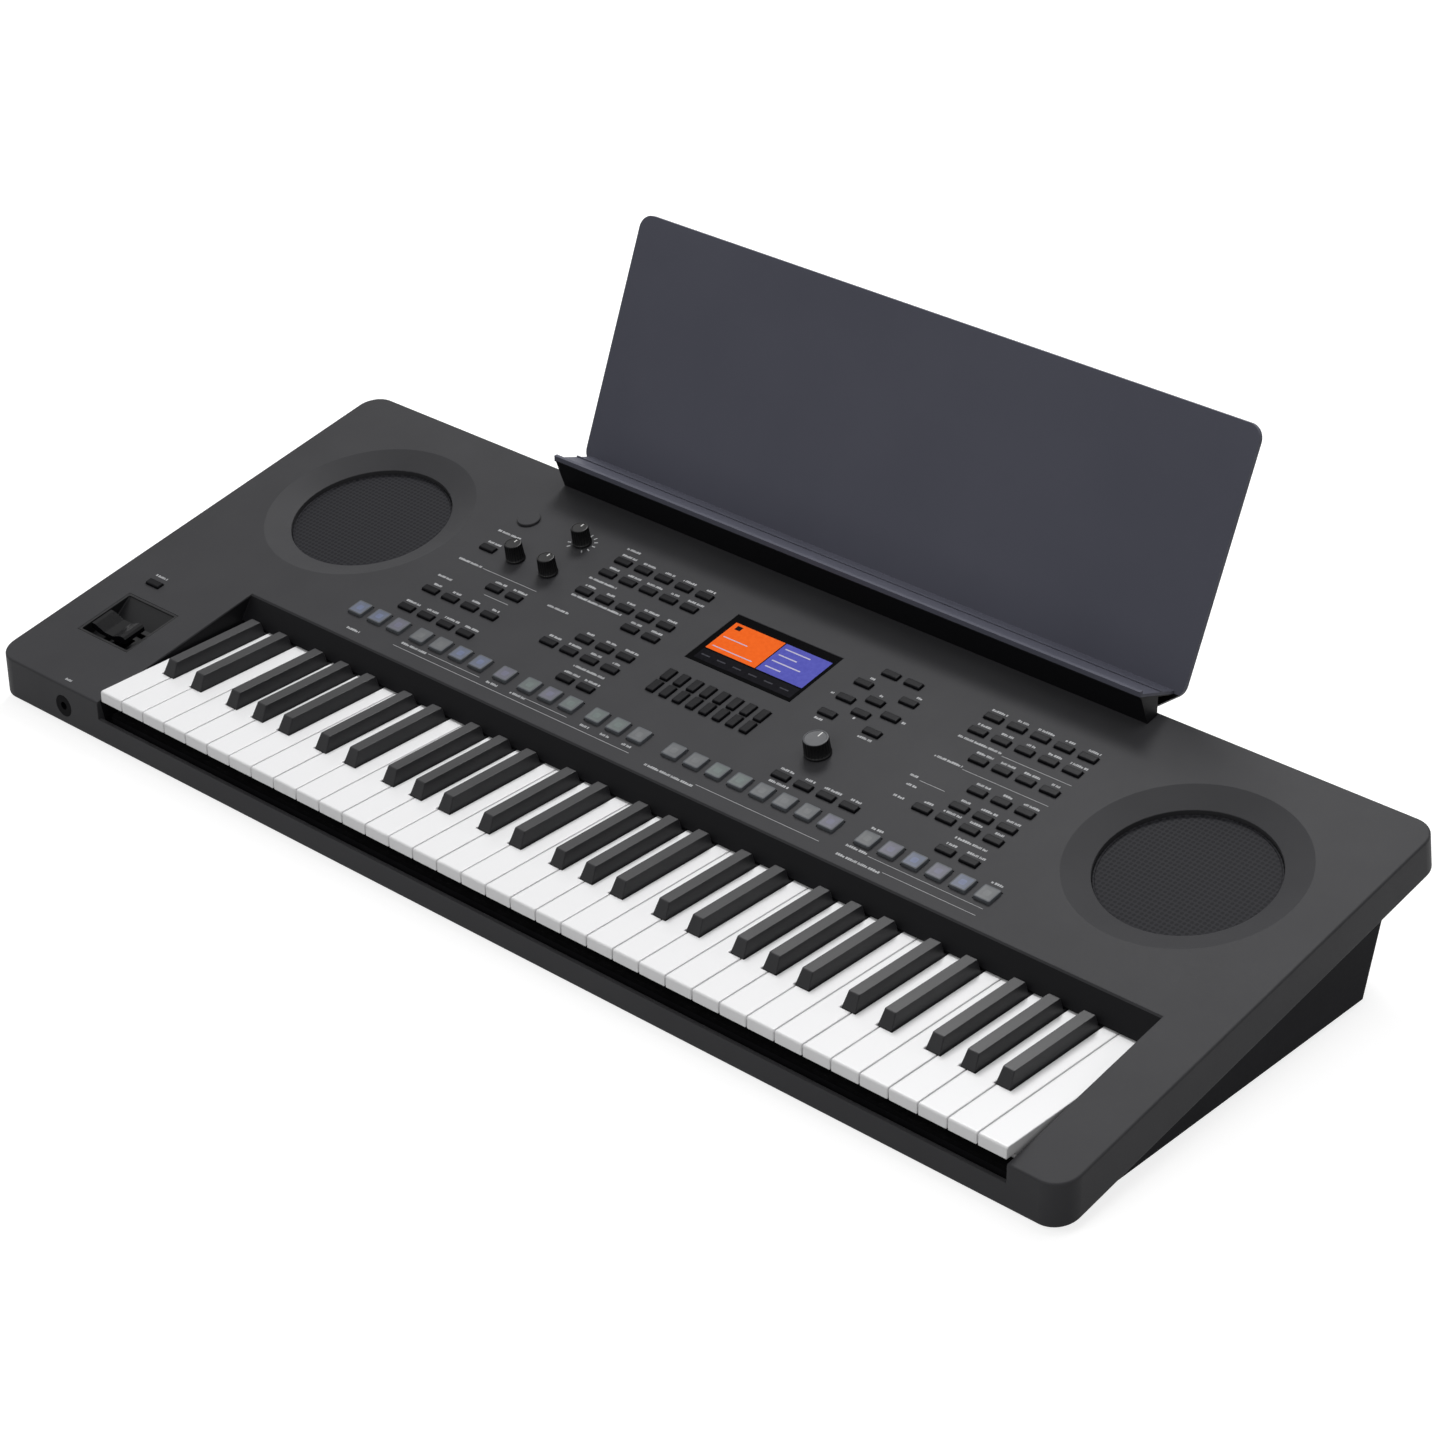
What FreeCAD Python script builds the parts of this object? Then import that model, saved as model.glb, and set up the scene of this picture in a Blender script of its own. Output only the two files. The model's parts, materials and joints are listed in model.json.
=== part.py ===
import FreeCAD, Part
import math
import os

V = FreeCAD.Vector

# Arranger keyboard with 61 keys, in millimetres.
# The model is drawn with y = 0 at the front of the case and z = 0 on the table,
# and is moved on export so that the origin is the bottom centre of its box.

# Case
case_width = 1010.0
case_depth = 394.0
case_corner_radius = 18.0
case_wall = 3.0
edge_round = 1.5
panel_front_height = 38.5
panel_slope = 10.5
band_height = 29.0
foot_height = 5.0
seam_lift = 0.5
seam_gap = 0.3
base_inset = 9.5
base_back_foot_set = 63.0
base_back_top_set = 44.0
foot_radius = 10.0
foot_inset_x = 60.0
foot_inset_front = 32.0
foot_inset_back = 24.0

# Screws and bosses
screw_radius = 1.5
screw_head_radius = 3.6
screw_head_height = 2.0
screw_length = 12.0
screw_play = 0.1
boss_radius = 5.0
rear_screw_inset = 26.0
rear_screw_count = 5
rear_screw_end = 105.0
cheek_screw_y = 30.0
cheek_screw_inset = 24.0

# Keys
key_pitch = 23.5
key_gap = 1.0
left_cheek = 119.4
right_cheek = 44.0
slot_play = 1.8
slot_back_y = 154.0
fallboard_foot_y = 142.0
key_front_y = 2.6
key_top_z = 48.0
key_lip_height = 8.7
key_lip_depth = 8.0
key_depth = 14.0
key_plate = 2.5
key_side_wall = 1.8
key_nose_chamfer = 1.0
key_pivot_y = 200.0
key_pivot_z = 38.0
key_tail = 9.0
key_dip_angle = 2.8
key_rib_y = 104.0
key_rib_width = 12.0
key_over_gap = 1.3
head_length = 48.5
black_front_gap = 0.4
black_height = 10.5
black_width = 11.5
black_top_width = 9.0
black_nose_run = 5.5
black_back_y = 138.0
black_back_run = 2.5
rail_top_z = 24.5
notch_half_angle = 35.0
ridge_half_angle = 25.0
pivot_play = 0.25

# Keybed
keybed_plate = 3.0
keybed_front_y = 10.0
keybed_back_y = 226.0
keybed_side_play = 1.2
felt_thickness = 3.0
felt_front_y = 12.0
felt_width = 8.0
felt_play = 0.3
post_width = 9.0
post_length = 10.0
white_post_y = 24.0
black_post_y = 66.0
post_play = 3.4
board_thickness = 1.6
contact_board_y = 92.0
contact_board_width = 36.0
contact_board_z = 20.4
contact_strip_base = 1.5
contact_dome = 8.0
contact_play = 0.4
spring_width = 4.0
spring_thickness = 0.5
spring_foot = 6.0
spring_reach = 50.0
spring_tip = 5.0
spring_tip_back = 4.0
spring_play = 0.6
spring_bar_z = 24.0
stand_off_width = 3.0

# Speakers
speaker_inset = 117.0
speaker_set_back = 118.7
dish_radius = 83.0
dish_depth = 6.5
grille_radius = 63.0
grille_thickness = 2.4
grille_play = 0.2
grille_sink = 3.0
speaker_ledge = 3.0
speaker_seat = 6.0
basket_rim = 2.0
magnet_floor_gap = 10.0
basket_back_radius = 34.0
basket_sheet = 3.0
voice_coil_radius = 12.0
magnet_radius = 38.0
magnet_height = 16.0
cone_sheet = 1.6
cone_back_gap = 7.0
dust_cap_radius = 14.0
dust_cap_rise = 4.0
speaker_screw_count = 4
speaker_screw_length = 3.0

# Field of the panel that holds the controls, between the speaker dishes and behind the key slot
column_count = 29
row_count = 14
field_margin = 7.75

# Panel controls
button_gap = 6.3
button_depth = 6.2
button_height = 2.0
button_travel = 1.0
button_play = 0.35
button_flange = 1.0
button_flange_height = 1.8
button_chamfer = 0.5
flange_play = 0.4
switch_play = 0.3
tall_button_length = 7.2
tall_button_inset = 5.4
tall_button_count = 8
tall_button_depth = 12.4
tall_row_gap = 2.6
pad_gap = 6.7
pad_height = 2.4
pad_strip_width = 25.0
power_radius = 9.0
power_height = 1.8

# Rotary controls
knob_radius = 7.6
knob_height = 15.0
knob_top_radius = 6.8
dial_radius = 10.0
dial_top_radius = 9.4
dial_height = 14.0
knob_lift = 0.6
knob_chamfer = 0.8
pointer_width = 1.2
pointer_depth = 0.6
shaft_radius = 3.0
shaft_grip = 10.0
shaft_play = 0.05
shaft_hole_play = 0.6
pot_size = 16.0
pot_height = 11.0
pot_floor = 2.5

# Display
display_width = 100.0
display_length = 58.6
display_play = 0.3
display_recess = 0.2
window_thickness = 2.5
module_margin = 1.0
module_thickness = 6.5

# Panel boards
panel_board_gap = 1.0
panel_boss_radius = 3.0

# Joystick
joystick_inset = 61.2
joystick_v = 80.0
joystick_width = 56.0
joystick_length = 52.0
joystick_play = 0.3
joystick_wall = 2.0
joystick_floor = 10.0
joystick_ramp = 16.0
joystick_ramp_drop = 1.0
lever_offset = -9.5
lever_half_width = 19.5
lever_half_length = 9.5
lever_ear = 5.0
lever_ear_width = 5.0
lever_ear_round = 1.5
lever_valley = 1.0
lever_valley_width = 9.0
lever_under = 3.0
lever_foot_width = 24.0
lever_post = 8.0
gimbal_pivot = 16.0
gimbal_outer = 22.0
gimbal_inner = 14.0
gimbal_height = 6.0
gimbal_pin_radius = 1.5
gimbal_box = 30.0
gimbal_box_depth = 20.0
pin_play = 0.05
pin_end_play = 0.1
joystick_button_inset = 41.5
joystick_button_v = 124.5

# Headphone socket and rear sockets
phone_inset = 77.4
phone_z = 21.0
jack_bore_radius = 3.2
jack_bore_length = 28.0
jack_ring_radius = 8.5
jack_ring = 0.8
jack_bush_radius = 5.5
jack_body = 14.0
jack_body_length = 22.0
jack_play = 0.2
rear_plate_width = 330.0
rear_plate_height = 36.0
rear_plate_thickness = 2.0
rear_plate_lap = 5.0
rear_plate_low = 14.0
rear_plate_x = -120.0
jack_pitch = 34.0
jack_count = 5
first_jack = -140.0
inlet_bore_radius = 2.8
inlet_pin_radius = 1.0
inlet_place = 140.0
usb_places = (54.0, 92.0)
usb_widths = (13.4, 12.2)
usb_heights = (6.2, 11.2)
usb_shell = 0.6
usb_depth = 16.0

# Main board
main_board_x = 40.0
main_board_width = 300.0
main_board_front_gap = 10.0
main_board_back_gap = 8.0
main_board_lift = 6.0
stand_off_radius = 4.0
stand_off_inset = 8.0
chip_size = 28.0
chip_height = 3.0
chip_pitch = 64.0
chip_count = 4

# Music rest
rest_width = 570.0
rest_flare = 2.5
rest_foot_back = 15.7
rest_foot_rise = 10.9
rest_lean = 22.5
rest_height = 190.7
rest_drop = 20.0
rest_low_run = 24.0
rest_low_radius = 12.0
rest_thickness = 4.0
rest_top_radius = 11.0
shelf_inset = 7.0
shelf_run = 40.2
shelf_rise = 14.1
shelf_wall = 3.0
shelf_lip = 1.5
shelf_bead = 1.0
shelf_bead_place = 0.4
skirt_set_back = 10.0
rest_end_run = 21.0
rest_gap = 0.3
tongue_width = 60.0
tongue_inset = 145.0
tongue_set = 15.0
tongue_length = 32.0
tongue_play = 0.4

# Worked out from the driving sizes
slope = math.radians(panel_slope)
panel_length = case_depth / math.cos(slope)
half_width = case_width / 2
panel_frame = FreeCAD.Placement(V(0, 0, panel_front_height), FreeCAD.Rotation(V(1, 0, 0), panel_slope))


def on_slope(v, n):
    """World (y, z) of the panel point v up the slope and n above it."""
    y = v * math.cos(slope) - n * math.sin(slope)
    z = panel_front_height + v * math.sin(slope) + n * math.cos(slope)
    return y, z


def panel_z(y):
    """Height of the panel surface above the table at depth y."""
    return panel_front_height + y * math.tan(slope)


case_rear_y, case_rear_z = on_slope(panel_length, -band_height)
case_front_bottom = foot_height + seam_lift


def seam_z(y):
    """Height of the lower rim of the top case at depth y."""
    return case_front_bottom + (case_rear_z - case_front_bottom) * y / case_rear_y


seam_angle = math.degrees(math.atan2(case_rear_z - case_front_bottom, case_rear_y))
seam_frame = FreeCAD.Placement(V(0, 0, case_front_bottom), FreeCAD.Rotation(V(1, 0, 0), seam_angle))
base_floor_z = foot_height + case_wall
base_back_foot_y = case_depth - base_back_foot_set
base_back_top_y = case_depth - base_back_top_set
base_back_top_z = seam_z(base_back_top_y)
base_back_angle = math.degrees(
    math.atan2(base_back_top_y - base_back_foot_y, base_back_top_z - foot_height)
)
rear_frame = FreeCAD.Placement(
    V(rear_plate_x, base_back_foot_y, foot_height),
    FreeCAD.Rotation(V(1, 0, 0), -base_back_angle),
)
rest_foot_y = case_depth + rest_foot_back
rest_foot_z = panel_z(case_depth) + rest_foot_rise
rest_frame = FreeCAD.Placement(
    V(0, rest_foot_y, rest_foot_z), FreeCAD.Rotation(V(1, 0, 0), -rest_lean)
)
shelf_width = rest_width - 2 * shelf_inset
tongue_x = rest_width / 2 - tongue_inset
lean = math.radians(rest_lean)
overall_depth = rest_foot_y + rest_height * math.sin(lean) + rest_thickness * math.cos(lean)

white_notes = ("c", "d", "e", "f", "g", "a", "b")
black_notes = {"c": "c_sharp", "d": "d_sharp", "f": "f_sharp", "g": "g_sharp", "a": "a_sharp"}
black_offsets = {"c": -3.3, "d": 3.3, "f": -4.5, "g": 0.0, "a": 4.5}
octave_count = int(((case_width - left_cheek - right_cheek) / key_pitch - 1) / len(white_notes))
white_count = octave_count * len(white_notes) + 1
keys_left = left_cheek - half_width
keys_right = keys_left + white_count * key_pitch
slot_left = keys_left - slot_play
slot_right = keys_right + slot_play
key_back_y = key_pivot_y + key_tail
key_under_z = key_top_z - key_depth
black_front_y = key_front_y + head_length - key_gap + black_front_gap
dip_slope = math.tan(math.radians(key_dip_angle))
fallboard_foot_z = key_top_z + key_over_gap

speaker_x = half_width - speaker_inset
speaker_v = panel_length - speaker_set_back
grille_top = -(dish_depth + grille_sink)
speaker_under = grille_top - speaker_seat
magnet_front_z = panel_front_height + (speaker_v - magnet_radius) * math.sin(slope)
speaker_room = (magnet_front_z - base_floor_z - magnet_floor_gap) / math.cos(slope)
basket_depth = speaker_room + speaker_under - magnet_height
cone_depth = basket_depth - cone_back_gap
flange_top = -(case_wall + flange_play)
flange_under = flange_top - button_flange_height
board_top = flange_under - button_travel - switch_play
board_under = board_top - board_thickness
joystick_x = joystick_inset - half_width
joystick_button_x = joystick_button_inset - half_width
phone_x = phone_inset - half_width
main_board_front = keybed_back_y + main_board_front_gap
main_board_length = base_back_foot_y - main_board_back_gap - main_board_front


def box(x0, x1, y0, y1, z0, z1):
    """Box between two corners."""
    return Part.makeBox(x1 - x0, y1 - y0, z1 - z0, V(x0, y0, z0))


def side_prism(outline, x0, x1):
    """Side outline of (y, z) points drawn out along x."""
    points = [V(x0, y, z) for y, z in outline]
    wire = Part.makePolygon(points + points[:1])
    return Part.Face(wire).extrude(V(x1 - x0, 0, 0))


def front_prism(outline, y0, y1):
    """Front outline of (x, z) points drawn out along y."""
    points = [V(x, y0, z) for x, z in outline]
    wire = Part.makePolygon(points + points[:1])
    return Part.Face(wire).extrude(V(0, y1 - y0, 0))


def turned(outline, x=0.0, v=0.0):
    """Outline of (radius, height) points turned about a vertical axis at (x, v)."""
    points = [V(r, 0, n) for r, n in outline]
    solid = Part.Face(Part.makePolygon(points + points[:1])).revolve(V(0, 0, 0), V(0, 0, 1), 360)
    solid.translate(V(x, v, 0))
    return solid


def rod(radius, start, end):
    """Round rod between two points."""
    return Part.makeCylinder(radius, (end - start).Length, start, end - start)


def upright_edges(solid, axis):
    """Straight edges of a solid that run along an axis."""
    return [e for e in solid.Edges if abs(abs(e.tangentAt(e.FirstParameter).dot(axis)) - 1) < 1e-6]


def placed(shape, frame):
    """The shape carried from a local frame into the model."""
    shape.Placement = frame.multiply(shape.Placement)
    return shape


def case_block(outline, inset):
    """Side outline drawn across the case, with the four corners of its plan rounded."""
    block = side_prism(outline, inset - half_width, half_width - inset)
    lean = panel_frame.Rotation.multVec(V(0, 0, 1))
    corners = upright_edges(block, V(0, 0, 1)) + upright_edges(block, lean)
    return block.makeFillet(case_corner_radius - inset, corners)


button_pitch = 2 * (speaker_x - dish_radius - field_margin) / column_count
field_front = slot_back_y / math.cos(slope)
row_pitch = (panel_length - field_front) / row_count


def across(column):
    """Place across the panel, counted in columns of the field from its middle."""
    return column * button_pitch


def up(place):
    """Place up the slope, counted in rows of the field from the key slot."""
    return field_front + place * row_pitch


def row(start, v, count, pitch=button_pitch):
    """Centres of a row of equal controls."""
    return [(start + pitch * i, v) for i in range(count)]


def column_x(start, index):
    """Centre of one column of a button block."""
    return start + button_pitch * index


# Places read from the panel: blocks, rotary controls, display and boards
button_length = button_pitch - button_gap
tall_button_pitch = (display_width - 2 * tall_button_inset) / (tall_button_count - 1)
pad_size = button_pitch - pad_gap
left_column = across(-13.195)
style_column = across(-8.2)
tall_column = tall_button_inset - display_width / 2
cursor_x = across(5.0)
page_column = across(4.888)
voice_column = across(9.005)
tall_v = up(5.379)
pad_v = up(1.725)
power_x = across(-13.171)
power_v = up(10.403)
volume_x = across(-10.371)
volume_v = up(10.346)
live_left_x = across(-11.834)
live_right_x = across(-10.161)
live_v = up(7.966)
dial_x = across(5.141)
dial_v = up(4.782)
display_v = up(8.379)
panel_board_left = across(-14.146)
panel_board_split_left = across(-3.024)
panel_board_split_right = across(8.512)
panel_board_right = across(14.244)
panel_board_front = pad_v + pad_strip_width / 2 + panel_board_gap
panel_board_back = up(11.034)
pad_board_end = across(15.122)

# Button rows of each block, read from the panel
button_blocks = {
    "left_buttons": (
        row(left_column, up(7.88), 1)
        + row(column_x(left_column, 2), up(5.872), 2)
        + row(left_column, up(4.358), 4)
        + row(left_column, up(2.89), 4)
    ),
    "style_buttons": (
        row(style_column, up(10.231), 5)
        + row(style_column, up(9.256), 5)
        + row(style_column, up(7.782), 5)
        + row(column_x(style_column, 3), up(6.847), 2)
    ),
    "song_buttons": (
        row(column_x(style_column, 2), up(5.299), 3)
        + row(column_x(style_column, 1), up(4.358), 4)
        + row(column_x(style_column, 3), up(2.89), 2)
    ),
    "cursor_buttons": (
        row(cursor_x - button_pitch / 2, up(10.231), 2)
        + row(cursor_x - button_pitch, up(9.199), 2, 2 * button_pitch)
        + row(cursor_x, up(8.534), 1)
        + row(cursor_x - button_pitch, up(8.075), 2, 2 * button_pitch)
        + row(cursor_x, up(7.627), 1)
        + row(cursor_x - button_pitch, up(6.928), 2, 2 * button_pitch)
    ),
    "page_buttons": row(page_column, up(2.89), 4),
    "voice_buttons": (
        row(voice_column, up(10.231), 5)
        + row(voice_column, up(9.233), 5)
        + row(column_x(voice_column, 1), up(7.799), 4)
        + row(column_x(voice_column, 2), up(6.274), 3)
        + row(column_x(voice_column, 2), up(5.161), 3)
        + row(column_x(voice_column, 1), up(4.323), 4)
        + row(column_x(voice_column, 3), up(2.867), 2)
    ),
    "joystick_button": [(joystick_button_x, joystick_button_v)],
}
tall_low_v = tall_v - tall_button_depth - tall_row_gap
tall_buttons = [
    centre
    for v in (tall_v, tall_low_v)
    for centre in row(tall_column, v, tall_button_count, tall_button_pitch)
]
pad_blocks = {
    "style_pads": (
        row(across(-14.6), pad_v, 3)
        + row(across(-11.415), pad_v, 4)
        + row(across(-7.18), pad_v, 1)
        + row(across(-5.961), pad_v, 3)
        + row(across(-2.693), pad_v, 3)
    ),
    "registration_pads": row(across(0.927), pad_v, 8),
    "part_pads": row(across(9.522), pad_v, 6),
}
# Bosses that carry the panel boards, by column and row of the field
boss_places = [
    (-13.854, 3.75),
    (-13.854, 10.747),
    (-9.171, 3.75),
    (-9.171, 10.747),
    (-3.268, 3.75),
    (-3.268, 10.747),
    (-2.756, 3.75),
    (3.024, 3.75),
    (3.024, 10.747),
    (8.244, 3.75),
    (9.073, 5.356),
    (13.951, 3.75),
    (13.951, 10.747),
]
pad_boss_columns = (-12.01, -3.327, 0.112, 8.717)
panel_bosses = [(across(x), up(v)) for x, v in boss_places] + [(across(x), pad_v) for x in pad_boss_columns]
knobs = {
    "volume": (volume_x, volume_v, knob_radius, knob_top_radius, knob_height),
    "live_left": (live_left_x, live_v, knob_radius, knob_top_radius, knob_height),
    "live_right": (live_right_x, live_v, knob_radius, knob_top_radius, knob_height),
    "dial": (dial_x, dial_v, dial_radius, dial_top_radius, dial_height),
}
rear_screw_pitch = (case_width - 2 * rear_screw_end) / (rear_screw_count - 1)
rear_screw_xs = [rear_screw_pitch * (i - (rear_screw_count - 1) / 2) for i in range(rear_screw_count)]
rear_screw_run = case_rear_y / math.cos(math.radians(seam_angle)) - rear_screw_inset
cheek_screw_xs = (-half_width + cheek_screw_inset, half_width - cheek_screw_inset)
speaker_centres = ((-speaker_x, speaker_v), (speaker_x, speaker_v))
speaker_screw_ring = grille_radius - speaker_ledge + screw_head_radius + screw_play


def control_hole(x, v, length, depth):
    """Cutter for a rectangular panel hole around a cap."""
    half_x = length / 2 + button_play
    half_v = depth / 2 + button_play
    return box(x - half_x, x + half_x, v - half_v, v + half_v, -2 * case_wall, case_wall)


def speaker_ring(x, v):
    """Dish with its grille seat, standing in the panel."""
    outer = grille_radius + case_wall
    ledge = grille_radius - speaker_ledge
    return turned(
        [
            (dish_radius, 0),
            (grille_radius, -dish_depth),
            (grille_radius, grille_top - grille_thickness),
            (ledge, grille_top - grille_thickness),
            (ledge, speaker_under),
            (outer, speaker_under),
            (outer, -dish_depth),
            (dish_radius + case_wall, -case_wall),
            (dish_radius + case_wall, 0),
        ],
        x,
        v,
    )


def speaker_screw_points(x, v):
    """Places of one speaker's screws round its rim."""
    turns = [(i + 0.5) * 2 * math.pi / speaker_screw_count for i in range(speaker_screw_count)]
    return [(x + speaker_screw_ring * math.cos(a), v + speaker_screw_ring * math.sin(a)) for a in turns]


def make_top_case():
    """Upper shell with panel, cheeks, fallboard, front rail and speaker dishes."""
    outline = [
        (0, case_front_bottom),
        (0, panel_front_height),
        (case_depth, panel_z(case_depth)),
        (case_rear_y, case_rear_z),
    ]
    shell = case_block(outline, 0)
    rim = max(shell.Faces, key=lambda f: f.CenterOfMass.z).Edges
    shell = shell.makeFillet(edge_round, rim)
    hollow = [
        (case_wall, panel_z(case_wall) - case_wall / math.cos(slope)),
        on_slope(panel_length - case_wall, -case_wall),
        on_slope(panel_length - case_wall, -band_height - case_wall),
        (case_wall, -band_height),
    ]
    slot = [
        (-case_wall, rail_top_z),
        (-case_wall, case_depth),
        (slot_back_y, case_depth),
        (slot_back_y, panel_z(slot_back_y)),
        (fallboard_foot_y, fallboard_foot_z),
        (fallboard_foot_y, rail_top_z),
    ]
    shell = shell.cut([case_block(hollow, case_wall), side_prism(slot, slot_left, slot_right)])

    fallboard = [
        (slot_back_y, panel_z(slot_back_y)),
        (fallboard_foot_y, fallboard_foot_z),
        (fallboard_foot_y + case_wall, fallboard_foot_z),
        (slot_back_y + case_wall, panel_z(slot_back_y + case_wall)),
    ]
    cheek_back = slot_back_y + case_wall
    cheek_low = base_floor_z + case_wall + keybed_side_play
    cheek = [
        (case_wall / 2, cheek_low),
        (case_wall / 2, panel_z(case_wall / 2) - case_wall / 2),
        (cheek_back, panel_z(cheek_back) - case_wall / 2),
        (cheek_back, cheek_low),
    ]
    walls = [
        side_prism(fallboard, slot_left - case_wall / 2, slot_right + case_wall / 2),
        side_prism(cheek, slot_left - case_wall, slot_left),
        side_prism(cheek, slot_right, slot_right + case_wall),
    ]
    dish_holes = []
    dishes = []
    for x, v in speaker_centres:
        hole = Part.makeCylinder(dish_radius + case_wall / 2, 3 * case_wall, V(x, v, -2 * case_wall))
        dish_holes.append(placed(hole, panel_frame))
        dishes.append(placed(speaker_ring(x, v), panel_frame))
    bosses = []
    for x, v in panel_bosses:
        boss = rod(panel_boss_radius, V(x, v, board_top), V(x, v, -case_wall / 2))
        bosses.append(placed(boss, panel_frame))
    for x in rear_screw_xs:
        y, z = seam_point(rear_screw_run, case_wall)
        top = panel_z(y) - case_wall / 2 - z
        boss = rod(boss_radius, V(x, rear_screw_run, case_wall), V(x, rear_screw_run, case_wall + top))
        bosses.append(placed(boss, seam_frame))
    for x in cheek_screw_xs:
        top = panel_z(cheek_screw_y) - case_wall / 2
        bosses.append(rod(boss_radius, V(x, cheek_screw_y, base_floor_z), V(x, cheek_screw_y, top)))
    shell = shell.cut(dish_holes).fuse(walls + dishes + bosses)
    return shell.cut(top_case_holes()).removeSplitter()


def seam_point(run, lift):
    """World (y, z) of a point along the rim of the top case, lifted square to it."""
    point = seam_frame.multVec(V(0, run, lift))
    return point.y, point.z


def top_case_holes():
    """Cutters for every control, screw and socket in the upper shell."""
    cutters = []
    for centres in button_blocks.values():
        cutters += [control_hole(x, v, button_length, button_depth) for x, v in centres]
    cutters += [control_hole(x, v, tall_button_length, tall_button_depth) for x, v in tall_buttons]
    for centres in pad_blocks.values():
        cutters += [control_hole(x, v, pad_size, pad_size) for x, v in centres]
    through = 3 * case_wall
    low = -2 * case_wall
    cutters.append(Part.makeCylinder(power_radius + button_play, through, V(power_x, power_v, low)))
    for x, v, radius, top_radius, height in knobs.values():
        cutters.append(Part.makeCylinder(shaft_radius + shaft_hole_play, through, V(x, v, low)))
    half_x = display_width / 2 + display_play
    half_v = display_length / 2 + display_play
    cutters.append(box(-half_x, half_x, display_v - half_v, display_v + half_v, low, case_wall))
    half_x = joystick_width / 2 + joystick_play
    half_v = joystick_length / 2 + joystick_play
    cutters.append(
        box(
            joystick_x - half_x,
            joystick_x + half_x,
            joystick_v - half_v,
            joystick_v + half_v,
            low,
            case_wall,
        )
    )
    for centre in speaker_centres:
        for x, v in speaker_screw_points(*centre):
            start = V(x, v, speaker_under)
            cutters.append(rod(screw_radius + screw_play, start, start + V(0, 0, speaker_screw_length)))
    cutters = [placed(cutter, panel_frame) for cutter in cutters]

    for x in rear_screw_xs:
        start = V(x, rear_screw_run, 0)
        pilot = rod(screw_radius + screw_play, start, start + V(0, 0, screw_length + screw_play))
        cutters.append(placed(pilot, seam_frame))
    for x in cheek_screw_xs:
        start = V(x, cheek_screw_y, foot_height)
        cutters.append(rod(screw_radius + screw_play, start, start + V(0, 0, screw_length + screw_play)))

    phone = V(phone_x, 0, phone_z)
    back = V(0, 1, 0)
    cutters.append(rod(jack_bush_radius + jack_play, phone - back, phone + back * 2 * case_wall))
    cutters.append(rod(jack_ring_radius + jack_play, phone - back, phone + back * jack_ring))
    for side in (-1, 1):
        half = tongue_width / 2 + tongue_play
        slot = box(
            side * tongue_x - half,
            side * tongue_x + half,
            -tongue_set - rest_thickness - tongue_play,
            -tongue_set + tongue_play,
            -tongue_length - tongue_set,
            -shelf_wall,
        )
        cutters.append(placed(slot, rest_frame))
    return cutters


def make_bottom_case():
    """Lower wedge-shaped tray with a rim that closes the upper shell."""
    front = case_wall + seam_gap
    rim_back = on_slope(panel_length - case_wall, case_wall - band_height)[0] - seam_gap
    inset = half_width - base_inset
    wedge = [
        (front, foot_height),
        (front, seam_z(front) + case_wall),
        (base_back_top_y, base_back_top_z + case_wall),
        (base_back_top_y, base_back_top_z),
        (base_back_foot_y, foot_height),
    ]
    rim = [
        (front, seam_z(front)),
        (front, seam_z(front) + case_wall),
        (rim_back, seam_z(rim_back) + case_wall),
        (rim_back, seam_z(rim_back)),
    ]
    tray = side_prism(wedge, -inset, inset).fuse(side_prism(rim, -half_width, half_width))
    plan = box(front - half_width, half_width - front, front, rim_back, -case_depth, case_depth)
    tray = tray.common(plan.makeFillet(case_corner_radius - front, upright_edges(plan, V(0, 0, 1))))
    back_run = case_wall / math.cos(math.radians(base_back_angle))
    hollow = [
        (front + case_wall, base_floor_z),
        (front + case_wall, case_depth),
        (base_back_top_y - back_run, case_depth),
        (base_back_top_y - back_run, base_back_top_z),
        (base_back_foot_y - back_run + case_wall * math.tan(math.radians(base_back_angle)), base_floor_z),
    ]
    tray = tray.cut(side_prism(hollow, -inset + case_wall, inset - case_wall))

    stand_offs = [
        Part.makeCylinder(stand_off_radius, main_board_lift, V(x, y, base_floor_z)) for x, y in board_corners()
    ]
    holes = []
    for x in rear_screw_xs:
        start = V(x, rear_screw_run, -case_wall)
        hole = rod(screw_radius + screw_play, start, start + V(0, 0, 3 * case_wall))
        holes.append(placed(hole, seam_frame))
    for x in cheek_screw_xs:
        start = V(x, cheek_screw_y, foot_height - case_wall)
        holes.append(rod(screw_radius + screw_play, start, start + V(0, 0, 3 * case_wall)))
    half_x = rear_plate_width / 2
    window = box(-half_x, half_x, -3 * case_wall, case_wall, rear_plate_low, rear_plate_low + rear_plate_height)
    holes.append(placed(window, rear_frame))
    return tray.fuse(stand_offs).cut(holes).removeSplitter()


def board_corners():
    """Places of the main board's stand-offs."""
    half = main_board_width / 2 - stand_off_inset
    front = main_board_front + stand_off_inset
    back = main_board_front + main_board_length - stand_off_inset
    return [(main_board_x + side * half, y) for side in (-1, 1) for y in (front, back)]


def make_rubber_feet():
    """Six round pads under the lower tray."""
    reach = half_width - foot_inset_x
    back = base_back_foot_y - foot_inset_back
    places = [(x, y) for x in (-reach, 0, reach) for y in (foot_inset_front, back)]
    return Part.makeCompound([Part.makeCylinder(foot_radius, foot_height, V(x, y, 0)) for x, y in places])


def screw(length):
    """Pan-head screw with the underside of its head at the origin, pointing up."""
    head = Part.makeCylinder(screw_head_radius, screw_head_height, V(0, 0, -screw_head_height))
    return head.fuse(Part.makeCylinder(screw_radius, length)).removeSplitter()


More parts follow.
